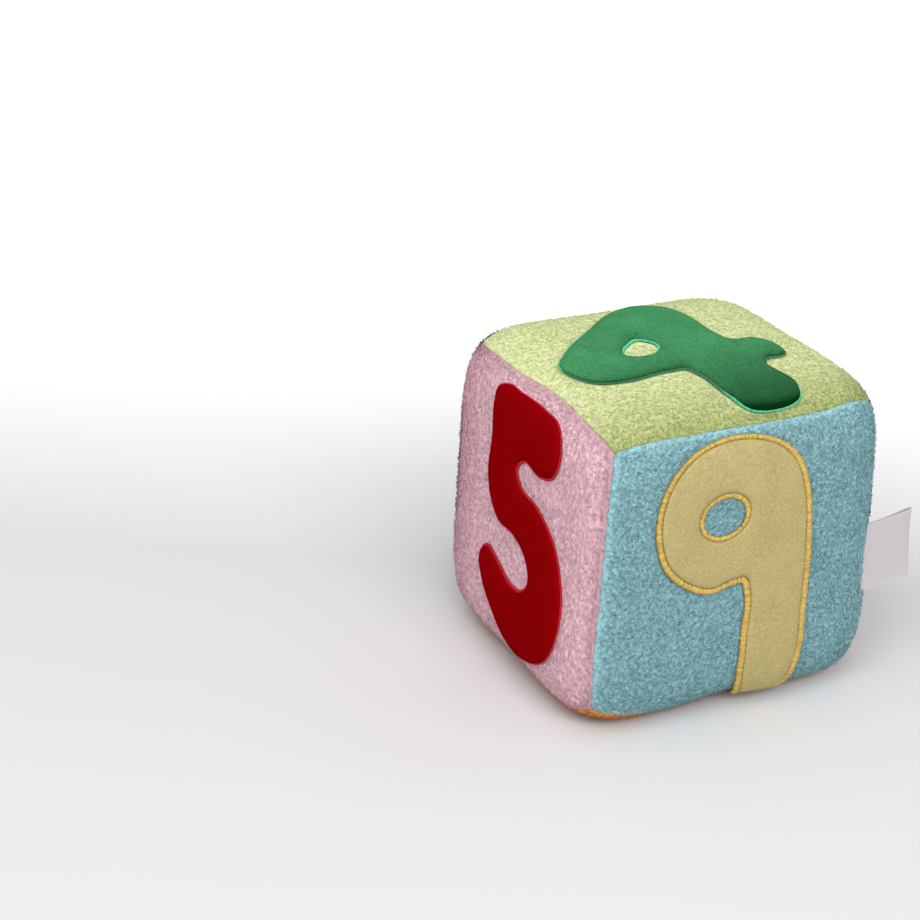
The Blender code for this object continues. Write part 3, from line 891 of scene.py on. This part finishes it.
def panel_shell(panel):
    """A closed shell of cloth over one side of the block, with its allowances turned in.
    The outer face is fine, and the lining has one cell to every FINE_STEPS of it."""
    seam = share_beside_seam(SEAM_GAP / 2, CREASE_DEPTH)
    fine = PANEL_CELLS * FINE_STEPS
    face = seam * np.sin(COLUMN_TURN * np.linspace(-1, 1, fine + 1)) / math.sin(COLUMN_TURN)
    shares = np.concatenate([[-seam], face, [seam]])
    across, up = grid_places(shares)
    in_wall = outer_rings(len(shares), 1)
    dips = beside_seams(across, up, CREASE_WIDTH)
    half_across, half_up = half_sizes(panel)
    edge = Edge(border_lines(panel))
    covered = edge.depths(np.stack([across * half_across, up * half_up], axis=1))
    start = BORDER_WIDTH * PILE_START_SHARE
    off_numeral = np.clip((-covered - start) / (BORDER_WIDTH * PILE_RISE_SHARE), 0, 1)
    pile = np.where(in_wall, 0, 1 - CREASED_PILE_SHARE * dips) * off_numeral
    pile *= 1 - PRESSED_PILE_SHARE * under_label(panel, across, up)
    sunk = CREASE_DEPTH * dips + PILE_SINK * pile * (1 - dips)
    outer = panel_points(panel, across, up, np.where(in_wall, -ALLOWANCE_DEPTH, -sunk))

    turn = share_beside_seam(PANEL_THICKNESS + SEAM_GAP / 2, PANEL_THICKNESS)
    wall = share_beside_seam(PANEL_THICKNESS + SEAM_GAP / 2, ALLOWANCE_DEPTH)
    lining_shares = np.concatenate([[-wall], face[::FINE_STEPS] * turn / seam, [wall]])
    in_allowance = outer_rings(len(lining_shares), 1)
    lining_lifts = np.where(in_allowance, -ALLOWANCE_DEPTH, -PANEL_THICKNESS - CREASE_DEPTH)
    lining = panel_points(panel, *grid_places(lining_shares), lining_lifts)

    matches = [0, *range(1, fine + 2, FINE_STEPS), fine + 2]
    faces = grid_faces(len(shares), 0, False) + grid_faces(len(lining_shares), len(outer), True)
    outer_sides = side_indices(len(shares), 0)
    lining_sides = side_indices(len(lining_shares), len(outer))
    for outer_side, lining_side in zip(outer_sides, lining_sides):
        for cell in range(len(matches) - 1):
            run = outer_side[matches[cell]:matches[cell + 1] + 1]
            faces.append([*run.tolist(), int(lining_side[cell + 1]), int(lining_side[cell])])
    mesh = bpy.data.meshes.new(panel + "_shell")
    mesh.from_pydata(np.concatenate([outer, lining]), [], faces)
    face_outward(mesh)
    # Painted light and shade beside the seams, kept for the finish
    seam_light_and_shade = beside_seams(across, up, SEAM_LIGHT_WIDTH)
    # Painted shade towards some edges, kept for the finish
    painted_shade = painted_shade_share(PAINTED_SHADE_FLEECE.get(panel, []), across, up)
    for name, values in (("pile", pile), ("seam_light_and_shade", seam_light_and_shade), ("painted_shade", painted_shade)):
        store(mesh, name, np.pad(values, (0, len(lining))))
    return mesh


def fleece_nap_tree():
    """Raises the pile of a panel into soft lumps, and keeps how high each vertex stands in them."""
    tree, given = new_geometry_tree(
        "fleece_nap",
        {"Lump Size": "Float", "Stretch": "Vector", "Pile Height": "Float", "Fabric": "Material"},
    )
    place = tree.vector("MULTIPLY", tree.node("GeometryNodeInputPosition"), given["Stretch"])
    cell = tree.node(
        "ShaderNodeTexVoronoi",
        {"feature": "SMOOTH_F1"},
        {"Vector": place, "Scale": 1 / given["Lump Size"], "Smoothness": 0.7},
    )
    lump = tree.noise(place, NAP_WANDER_SIZE)
    nub = tree.clamp((1 - cell) * 0.6 + (lump - 0.5) * 1.8 + 0.2)
    # The height kept as nap also sets the painted highlight on the nubs and the painted shade between
    # them
    marked = tree.kept(given["Geometry"], "nap", nub)
    values = {
        0: tree.node("GeometryNodeInputNormal"),
        "Scale": nub * tree.recalled("pile") * given["Pile Height"],
    }
    offset = tree.node("ShaderNodeVectorMath", {"operation": "SCALE"}, values)
    raised = tree.node("GeometryNodeSetPosition", None, {"Geometry": marked, "Offset": offset})
    return close_geometry_tree(tree, raised, given["Fabric"])


def fibre_mesh():
    """One pile fibre of unit length: a bent spindle with a point at each end."""
    bm = bmesh.new()
    root = bm.verts.new((0, 0, -0.1))
    tip = bm.verts.new((0.45, 0, 0.85))
    waist, height = 0.10, 0.45
    middle = [
        bm.verts.new((waist * math.cos(turn), waist * math.sin(turn), height))
        for turn in (0, math.tau / 3, 2 * math.tau / 3)
    ]
    for index, vertex in enumerate(middle):
        following = middle[(index + 1) % 3]
        bm.faces.new((root, following, vertex))
        bm.faces.new((tip, vertex, following))
    mesh = bpy.data.meshes.new("fibre")
    bm.to_mesh(mesh)
    bm.free()
    return mesh


def pile_fibre_tree():
    """Scatters loose fibres over a panel's pile, lying every way."""
    tree, given = new_geometry_tree(
        "pile_fibres",
        {
            "Fibre": "Object",
            "Fibre Length": "Float",
            "Fibres to the Square Metre": "Float",
            "Least Lean": "Float",
            "Most Lean": "Float",
            "Seed": "Int",
            "Fabric": "Material",
        },
    )
    values = {
        "Mesh": given["Geometry"],
        "Density": tree.recalled("pile") * given["Fibres to the Square Metre"],
        "Seed": given["Seed"],
    }
    spread = tree.node(
        "GeometryNodeDistributePointsOnFaces", {"distribute_method": "RANDOM"}, values
    )
    lean = tree.random(given["Least Lean"], given["Most Lean"], given["Seed"])
    spin = tree.random(0.0, math.tau, given["Seed"] + 1)
    size = tree.random(*FIBRE_SIZES, given["Seed"] + 2)
    tone = tree.random(*FIBRE_TONES, given["Seed"] + 3)
    leaned = tree.turned(spread.output("Rotation"), tree.xyz(Y=lean, Z=spin))
    values = {"Object": given["Fibre"]}
    shape = tree.node("GeometryNodeObjectInfo", {"transform_space": "ORIGINAL"}, values)
    fibres = tree.copies(
        tree.kept(spread, "nap", tone),
        shape.output("Geometry"),
        leaned,
        size * given["Fibre Length"],
    )
    return close_geometry_tree(tree, fibres, given["Fabric"])


def fleece_panels():
    nap_tree = fleece_nap_tree()
    fibre_tree = pile_fibre_tree()
    fibre = linked("pile_fibre", fibre_mesh())
    for index, panel in enumerate(PANEL_SIDES):
        slot = panel + "_fleece"
        *looks, pile_height = PANEL_NAPS[panel]
        finish = fleece_material(slot, FLEECE[panel], *looks)
        lumps = {
            "Lump Size": LUMP_SIZE,
            "Stretch": looks[1],
            "Pile Height": pile_height,
            "Fabric": finish,
        }
        shell = grown(panel_shell(panel), nap_tree, lumps)
        fibres = {
            "Fibre": fibre,
            "Fibre Length": FIBRE_LENGTH,
            "Fibres to the Square Metre": FIBRES_TO_THE_SQUARE_METRE,
            "Least Lean": FIBRE_LEANS[0],
            "Most Lean": FIBRE_LEANS[1],
            "Seed": 10 * index,
            "Fabric": finish,
        }
        pile = grown(shell, fibre_tree, fibres)
        cloth = add_piece(slot + "_panel", shell, slot, panel + "_panel")
        add_piece(slot + "_pile", pile, slot)
    bpy.data.objects.remove(fibre)


# Numerals


def stitching(panel):
    """(middle line, width, height) of each satin border. An outer border keeps the frame's outer
    edge, and a narrow one is drawn in from there."""
    colour = NUMERALS[panel][1]
    width, height, _ = STITCHING[colour]
    outer, *eyes = border_lines(panel)
    made = [(inset_line(outer, (width - BORDER_WIDTH) / 2), width, height)]
    return made + [(line, width * EYE_STITCHING_SHARE, height) for line in eyes]


def velour_lift(depth, puff):
    """How high the velour's upper face lies, this far in from its cut edge."""
    roll = np.array(FLAT_ROLL) * (1 - puff) + np.array(PUFFED_ROLL) * puff
    return FABRIC_GAP + NUMERAL_THICKNESS * np.interp(depth, (0, *ROLL_STEPS), roll)


def flat_velour(cut_lines, edge, half_across, half_up):
    """The flat places and triangles of a numeral, and how many places lie on its cut edge."""
    points, edges = [], []
    for line in cut_lines:
        first = len(points)
        points += line
        edges += [(first + i, first + (i + 1) % len(line)) for i in range(len(line))]
    rim = len(points)
    for step in ROLL_STEPS:
        for line in cut_lines:
            for point in inset_line(line, step)[::2]:
                if abs(edge.depth(*point) - step) < ROLL_TOLERANCE_SHARE * step:
                    points.append(point)
    for across in np.arange(-half_across, half_across, VELOUR_GRID):
        for up in np.arange(-half_up, half_up, VELOUR_GRID):
            if edge.depth(across, up) > ROLL_STEPS[-1] + VELOUR_GRID / 2:
                points.append(Vector((across, up)))
    placed, _, faces, _, _, _ = delaunay_2d_cdt(points, edges, [], 0, SMALLEST_GAP)
    inside = [
        face
        for face in faces
        if edge.depth(*(sum((placed[i] for i in face), Vector((0, 0))) / 3)) > 0
    ]
    return np.array(placed), inside, rim


def velour_piece(panel):
    """A closed cloth numeral whose cut edge rolls down beside the stitching."""
    digit, colour, _ = NUMERALS[panel]
    cut_lines = [inset_line(line, width / 2) for line, width, _ in stitching(panel)]
    edge = Edge(cut_lines)
    flat, inside, rim = flat_velour(cut_lines, edge, *half_sizes(panel))
    depths = np.maximum(edge.depths(flat), 0)
    depths[:rim] = 0
    lifts = velour_lift(depths, STITCHING[colour][2])
    upper = np.column_stack([flat, lifts])
    lower = np.column_stack([flat, np.maximum(lifts - NUMERAL_THICKNESS, FABRIC_GAP)])
    count = len(flat)
    used = {(face[i], face[(i + 1) % 3]): True for face in inside for i in range(3)}
    walls = [
        (end, start, start + count, end + count) for start, end in used if (end, start) not in used
    ]
    faces = [*inside, *[[i + count for i in reversed(face)] for face in inside], *walls]
    mesh = bpy.data.meshes.new("numeral_" + digit)
    mesh.from_pydata(np.concatenate([upper, lower]), [], faces)
    bm = bmesh.new()
    bm.from_mesh(mesh)
    bmesh.ops.delete(bm, geom=[v for v in bm.verts if not v.link_faces], context="VERTS")
    bmesh.ops.recalc_face_normals(bm, faces=bm.faces)
    area = sum(face.calc_area() for face in bm.faces) / 2
    bm.to_mesh(mesh)
    bm.free()
    # Painted shade, kept as lean: strongest where the velour's face leans towards the front
    normals = np.empty(len(mesh.vertices) * 3)
    mesh.vertex_normals.foreach_get("vector", normals)
    lean = -normals.reshape(-1, 3)[:, 1]
    store(mesh, "lean", np.where(lean > 0, lean, 0.3 * lean))
    shares = coordinates(mesh)[:, :2] / half_sizes(panel)
    # Painted shade towards the edges listed for this numeral
    store(mesh, "painted_shade", painted_shade_share(PAINTED_SHADE_VELOUR.get(panel, []), *shares.T))
    lay_on_panel(mesh, panel)
    mesh.shade_smooth()
    mesh.materials.append(VELOUR_FINISHES[colour])
    node = "numeral_" + digit
    piece = add_piece(node + "_velour", mesh, colour + "_velour", node)


def satin_stitch_tree():
    """Lays arched threads side by side across a closed line."""
    tree, given = new_geometry_tree(
        "satin_stitches",
        {
            "Stitches": "Int",
            "Border Width": "Float",
            "Border Height": "Float",
            "Thread Width": "Float",
            "Seed": "Int",
            "Fabric": "Material",
        },
    )
    line = tree.node("GeometryNodeMeshToCurve", None, {"Mesh": given["Geometry"]})
    stations = tree.node(
        "GeometryNodeCurveToPoints", {"mode": "COUNT"}, {"Curve": line, "Count": given["Stitches"]}
    )
    reach = given["Border Width"] * 0.5
    foot = given["Border Height"] * STITCH_FOOT_SHARE
    values = {
        "Resolution": STITCH_STEPS,
        "Start": tree.xyz(Y=0 - reach, Z=foot),
        "Middle": tree.xyz(Z=given["Border Height"] * STITCH_CREST_SHARE),
        "End": tree.xyz(Y=reach, Z=foot),
    }
    arch = tree.node("GeometryNodeCurveQuadraticBezier", None, values)
    # How near the crest each point of the arch lies, for the painted highlight there
    off_crest = abs(tree.node("GeometryNodeSplineParameter") * 2 - 1)
    crested = tree.kept(arch, "crest", 1 - off_crest)
    sway = tree.random(-STITCH_SWAY, STITCH_SWAY, given["Seed"])
    size = tree.random(*STITCH_SIZES, given["Seed"] + 1)
    tone = tree.random(0.0, 1.0, given["Seed"] + 2)
    along = tree.node(
        "FunctionNodeAlignRotationToVector",
        {"axis": "X", "pivot_axis": "Z"},
        {"Vector": stations.output("Tangent")},
    )
    stitches = tree.copies(
        tree.kept(stations, "strand", tone),
        tree.strand(crested, STITCH_SIDES, given["Thread Width"]),
        tree.turned(along, tree.xyz(Z=sway)),
        size,
    )
    return close_geometry_tree(tree, stitches, given["Fabric"])


def line_mesh(line, closed):
    """A mesh of edges along a line."""
    count = len(line)
    edges = [(i, (i + 1) % count) for i in range(count if closed else count - 1)]
    mesh = bpy.data.meshes.new("line")
    mesh.from_pydata([tuple(point.to_3d()) for point in line], edges, [])
    return mesh


def velour_cover_shade_share(across, up):
    """How far the 4's outer stitches take the velour's deeper tone at these shares of the panel:
    painted shade of velour that rolls over them.
    """
    foot_start, foot_width = BARE_FOOT_SHARES
    side_start, side_width = BARE_SIDE_SHARES
    foot = np.clip((foot_start - up) / foot_width, 0, 1)
    side = np.clip((side_start - across) / side_width, 0, 1)
    side *= np.clip(up / BARE_SIDE_TOP_SHARE + 1, 0, 1)
    return 1 - np.maximum(foot, BARE_SIDE_TONE * side)


def satin_borders(panel, tree):
    digit, colour, _ = NUMERALS[panel]
    borders = stitching(panel)
    eyes = ["_eye"] if len(borders) == 2 else ["_upper_eye", "_lower_eye"]
    for index, ((line, width, height), ending) in enumerate(zip(borders, ["", *eyes])):
        node = "border_" + digit + ending
        length = sum((line[i] - line[i - 1]).length for i in range(len(line)))
        values = {
            "Stitches": round(length / STITCH_PITCH),
            "Border Width": width,
            "Border Height": height,
            "Thread Width": STITCH_THREAD,
            "Seed": index,
            "Fabric": SATIN_FINISHES[colour],
        }
        mesh = grown(line_mesh(line, True), tree, values)
        flat = coordinates(mesh)[:, :2] / half_sizes(panel)
        # Painted shade of velour that rolls over the 4's outer stitches
        has_cover_shade = panel == "lime" and index == 0
        velour_cover_shade = velour_cover_shade_share(*flat.T) if has_cover_shade else np.zeros(len(flat))
        store(mesh, "velour_cover_shade", velour_cover_shade)
        mesh.transform(Matrix.Translation((0, 0, FABRIC_GAP)))
        lay_on_panel(mesh, panel)
        add_piece(node + "_stitching", mesh, SATIN_SLOTS[colour], node)


# Seams: each runs along one edge of the block, between the panels on its two sides

SEAMS = {
    "pink_aqua": (-1, -1, None),
    "aqua_plum": (1, -1, None),
    "plum_charcoal": (1, 1, None),
    "charcoal_pink": (-1, 1, None),
    "lime_pink": (-1, None, 1),
    "lime_aqua": (None, -1, 1),
    "lime_plum": (1, None, 1),
    "lime_charcoal": (None, 1, 1),
    "orange_pink": (-1, None, -1),
    "orange_aqua": (None, -1, -1),
    "orange_plum": (1, None, -1),
    "orange_charcoal": (None, 1, -1),
}
LABEL_SEAM = "aqua_plum"
CLOSING_SEAM = "orange_charcoal"


def seam_points(seam, shares, lifts):
    """The points at these shares along a seam, from -1 at one corner to 1 at the other."""
    units = [[share if part is None else part for part in SEAMS[seam]] for share in shares]
    return skin(np.array(units, float), lifts)


def thread_run(node, seam, start, end, tree):
    """One run of thread, which dips at each stitch, or crosses the seam where it's sewn by hand."""
    by_hand = seam == CLOSING_SEAM
    half_length = min(HALF_SIZE) * EDGE_SHARE
    reach = 1 - THREAD_END_CLEARANCE / half_length
    shares = np.arange(max(start, -reach), min(end, reach), THREAD_STEP / half_length)
    pitch = (HAND_STITCH_LENGTH if by_hand else STITCH_LENGTH) / half_length
    wave = np.sin(math.tau * shares / pitch)
    dip = np.zeros(len(shares)) if by_hand else THREAD_DIAMETER * np.abs(wave)
    points = seam_points(seam, shares, -THREAD_DEPTH - dip)
    if by_hand:
        points[:, 2] += np.where(wave > 0, 1, -1) * SEAM_GAP / 2
    line = line_mesh([Vector(point) for point in points], False)
    mesh = grown(line, tree, {"Thread Width": THREAD_DIAMETER, "Fabric": THREAD_FINISH})
    add_piece(node + "_stitches", mesh, "thread", node)


def thread_tree():
    """A round thread along an open line."""
    tree, given = new_geometry_tree("thread", {"Thread Width": "Float", "Fabric": "Material"})
    line = tree.node("GeometryNodeMeshToCurve", None, {"Mesh": given["Geometry"]})
    thread = tree.strand(line, THREAD_SIDES, given["Thread Width"])
    return close_geometry_tree(tree, thread, given["Fabric"])


def seam_threads():
    """The thread of each seam, in two runs where the label's root interrupts it."""
    tree = thread_tree()
    label_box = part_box("side_label")
    half_height = HALF_SIZE[2] * EDGE_SHARE
    under, over = [(corner.z - CENTRE_HEIGHT) / half_height for corner in label_box]
    for seam in SEAMS:
        node = ("closing_thread_" if seam == CLOSING_SEAM else "thread_") + seam
        if seam == LABEL_SEAM:
            thread_run(node + "_lower", seam, -1, under, tree)
            thread_run(node + "_upper", seam, over, 1, tree)
        else:
            thread_run(node, seam, -1, 1, tree)


# Filling and label


def fibre_filling():
    """One soft mass that fills the cloth, slotted along the seams for the turned in allowances."""
    slot = share_beside_seam(PANEL_THICKNESS + SEAM_GAP / 2 + SLOT_CLEARANCE, ALLOWANCE_DEPTH)
    face = np.linspace(-slot, slot, FILLING_CELLS + 1)
    shares = np.concatenate([[-1, -slot], face, [slot, 1]])
    in_slot = outer_rings(len(shares), 2)
    depths = np.where(in_slot, SLOT_DEPTH, FILLING_DEPTH)
    bm = bmesh.new()
    for panel in PANEL_SIDES:
        side = bpy.data.meshes.new("filling_side")
        points = panel_points(panel, *grid_places(shares), -depths)
        side.from_pydata(points, [], grid_faces(len(shares), 0, False))
        bm.from_mesh(side)
        bpy.data.meshes.remove(side)
    bmesh.ops.remove_doubles(bm, verts=bm.verts, dist=WELD_DISTANCE)
    bmesh.ops.recalc_face_normals(bm, faces=bm.faces)
    for vertex in bm.verts:
        tuft = noise.noise(vertex.co / TUFT_SIZE) * 0.5 + 0.5
        vertex.co -= vertex.normal * TUFT_HEIGHT * tuft
    mesh = bpy.data.meshes.new("filling")
    bm.to_mesh(mesh)
    bm.free()
    mesh.shade_smooth()
    mesh.materials.append(filling_material("fibre"))
    piece = add_piece("polyester_fibre_filling", mesh, "fibre", "fibre_filling")


def ribbon_section():
    """The folded ribbon from above: its middle line, and a closed outline that goes out along one
    face of that line and back along the other."""
    along = np.sin(np.linspace(0, math.pi / 2, RIBBON_STATIONS))
    half = RIBBON_GAP / 2 + RIBBON_THICKNESS / 2 + LABEL_SWELL / 2 * along ** 2
    half *= np.sqrt(1 - along ** FOLD_POWER)
    upper = np.column_stack([(LABEL_LENGTH - RIBBON_THICKNESS / 2) * along, half])
    middle = np.concatenate([upper, upper[-2::-1] * (1, -1)])
    heading = np.gradient(middle, axis=0)
    heading /= np.linalg.norm(heading, axis=1)[:, None]
    across = np.column_stack([-heading[:, 1], heading[:, 0]]) * RIBBON_THICKNESS / 2
    return middle, np.concatenate([middle + across, (middle - across)[::-1]])


def ribbon_label():
    """A ribbon folded in half. Both ends lie together in the seam, and the fold stays round."""
    middle, section = ribbon_section()
    count = len(section)
    share = section[:, 0] / LABEL_LENGTH
    rows = []
    for height in np.linspace(-LABEL_WIDTH / 2, LABEL_WIDTH / 2, RIBBON_ROWS):
        wave = math.sin(math.pi * height / LABEL_WIDTH + SWAY_PHASE) + SWAY_TWIST * share
        sway = LABEL_SWAY * share ** 2 * wave
        reach = section[:, 0] + LABEL_SLANT * share * (0.5 - height / LABEL_WIDTH)
        rows.append(np.column_stack([reach, section[:, 1] + sway, np.full(count, height)]))
    faces = []
    for row in range(RIBBON_ROWS - 1):
        first = row * count
        for i in range(count):
            j = (i + 1) % count
            faces.append((first + i, first + j, first + count + j, first + count + i))
    last = (RIBBON_ROWS - 1) * count
    for i in range(count // 2 - 1):
        j = count - 1 - i
        faces.append((i, j, j - 1, i + 1))
        faces.append((last + i, last + i + 1, last + j - 1, last + j))
    mesh = bpy.data.meshes.new("ribbon")
    points = np.concatenate(rows)
    mesh.from_pydata(points, [], faces)
    face_outward(mesh)
    beside = LABEL_WIDTH / 2 - np.abs(points[:, 2])
    store(mesh, "selvedge", np.clip(2 - 2 * beside / SELVEDGE, 0, 1))
    mesh.shade_smooth()
    mesh.set_sharp_from_angle(angle=RIBBON_CORNER)
    mesh.materials.append(ribbon_material("ribbon"))
    mesh.transform(Matrix.Translation(LABEL_ROOT) @ Matrix.Rotation(LABEL_LEAN, 4, "Z"))
    piece = add_piece("folded_ribbon", mesh, "ribbon", "side_label", "label")


# Camera, light and floor


def camera():
    data = bpy.data.cameras.new("camera")
    data.sensor_width = FILM_WIDTH * MILLIMETRES
    data.lens = FILM_WIDTH * MILLIMETRES * FOCAL_PIXELS / PICTURE_WIDTH
    data.clip_start = NEAREST_SHOWN
    shot = linked("camera", data)
    shot.matrix_world = (
        Matrix.Translation(CAMERA_PLACE)
        @ Matrix.Rotation(CAMERA_TURN, 4, "Z")
        @ Matrix.Rotation(math.pi / 2 - CAMERA_DOWN, 4, "X")
        @ Matrix.Rotation(CAMERA_ROLL, 4, "Z")
    )
    bpy.context.scene.camera = shot


def soft_box(name, place, aim, size, power):
    light = bpy.data.lights.new(name, "AREA")
    light.shape = "RECTANGLE"
    light.size, light.size_y = size
    light.energy = power
    lamp = linked(name, light)
    lamp.location = place
    lamp.rotation_mode = "QUATERNION"
    lamp.rotation_quaternion = (Vector(aim) - Vector(place)).to_track_quat("-Z", "Y")


def studio():
    bm = bmesh.new()
    bmesh.ops.create_grid(bm, x_segments=1, y_segments=1, size=FLOOR_REACH)
    mesh = bpy.data.meshes.new("floor")
    bm.to_mesh(mesh)
    bm.free()
    finish = Finish("floor", 0.75, specular=0.2)
    patch = finish.noise(finish.place, FLOOR_PATCH_SIZE)
    finish.feed("Base Color", finish.mix(patch, *FLOOR_COLOURS))
    # The floor glows behind the block: painted light, though the floor is no lamp
    behind = finish.vector("DOT_PRODUCT", finish.place, GLOW_DIRECTION).output("Value")
    glow = finish.clamp((behind - GLOW_START) * GLOW_STEEPNESS)
    finish.feed("Emission Color", finish.mix(glow, (0.0, 0.0, 0.0), GLOW_COLOUR))
    finish.shader.inputs["Emission Strength"].default_value = 1.0
    mesh.materials.append(finish.material)
    linked("floor", mesh)
    world = bpy.data.worlds.new("studio")
    world.use_nodes = True
    world.node_tree.nodes["Background"].inputs["Color"].default_value = ROOM_COLOUR
    world.node_tree.nodes["Background"].inputs["Strength"].default_value = ROOM_STRENGTH
    bpy.context.scene.world = world
    for name, lamp in LAMPS.items():
        soft_box(name, *lamp)
    view = bpy.context.scene.view_settings
    view.view_transform = "Standard"
    view.look = "None"


camera()
studio()

VELOUR_FINISHES = {
    name: velour_material(name + "_velour", VELOUR[name], *VELOUR_LOOKS[name]) for name in VELOUR
}
# Each satin takes a deeper velour tone where it counts as covered: painted shade
SATIN_FINISHES = {
    name: satin_material(SATIN_SLOTS[name], SATIN[name], *SATIN_HIGHLIGHT_AND_SHADE_TONES[name], toned(VELOUR[name], 0.7))
    for name in SATIN
}
THREAD_FINISH = thread_material("thread", THREAD_COLOUR)

fleece_panels()
stitch_tree = satin_stitch_tree()
for panel_name in PANEL_SIDES:
    velour_piece(panel_name)
    satin_borders(panel_name, stitch_tree)
seam_threads()
fibre_filling()
ribbon_label()
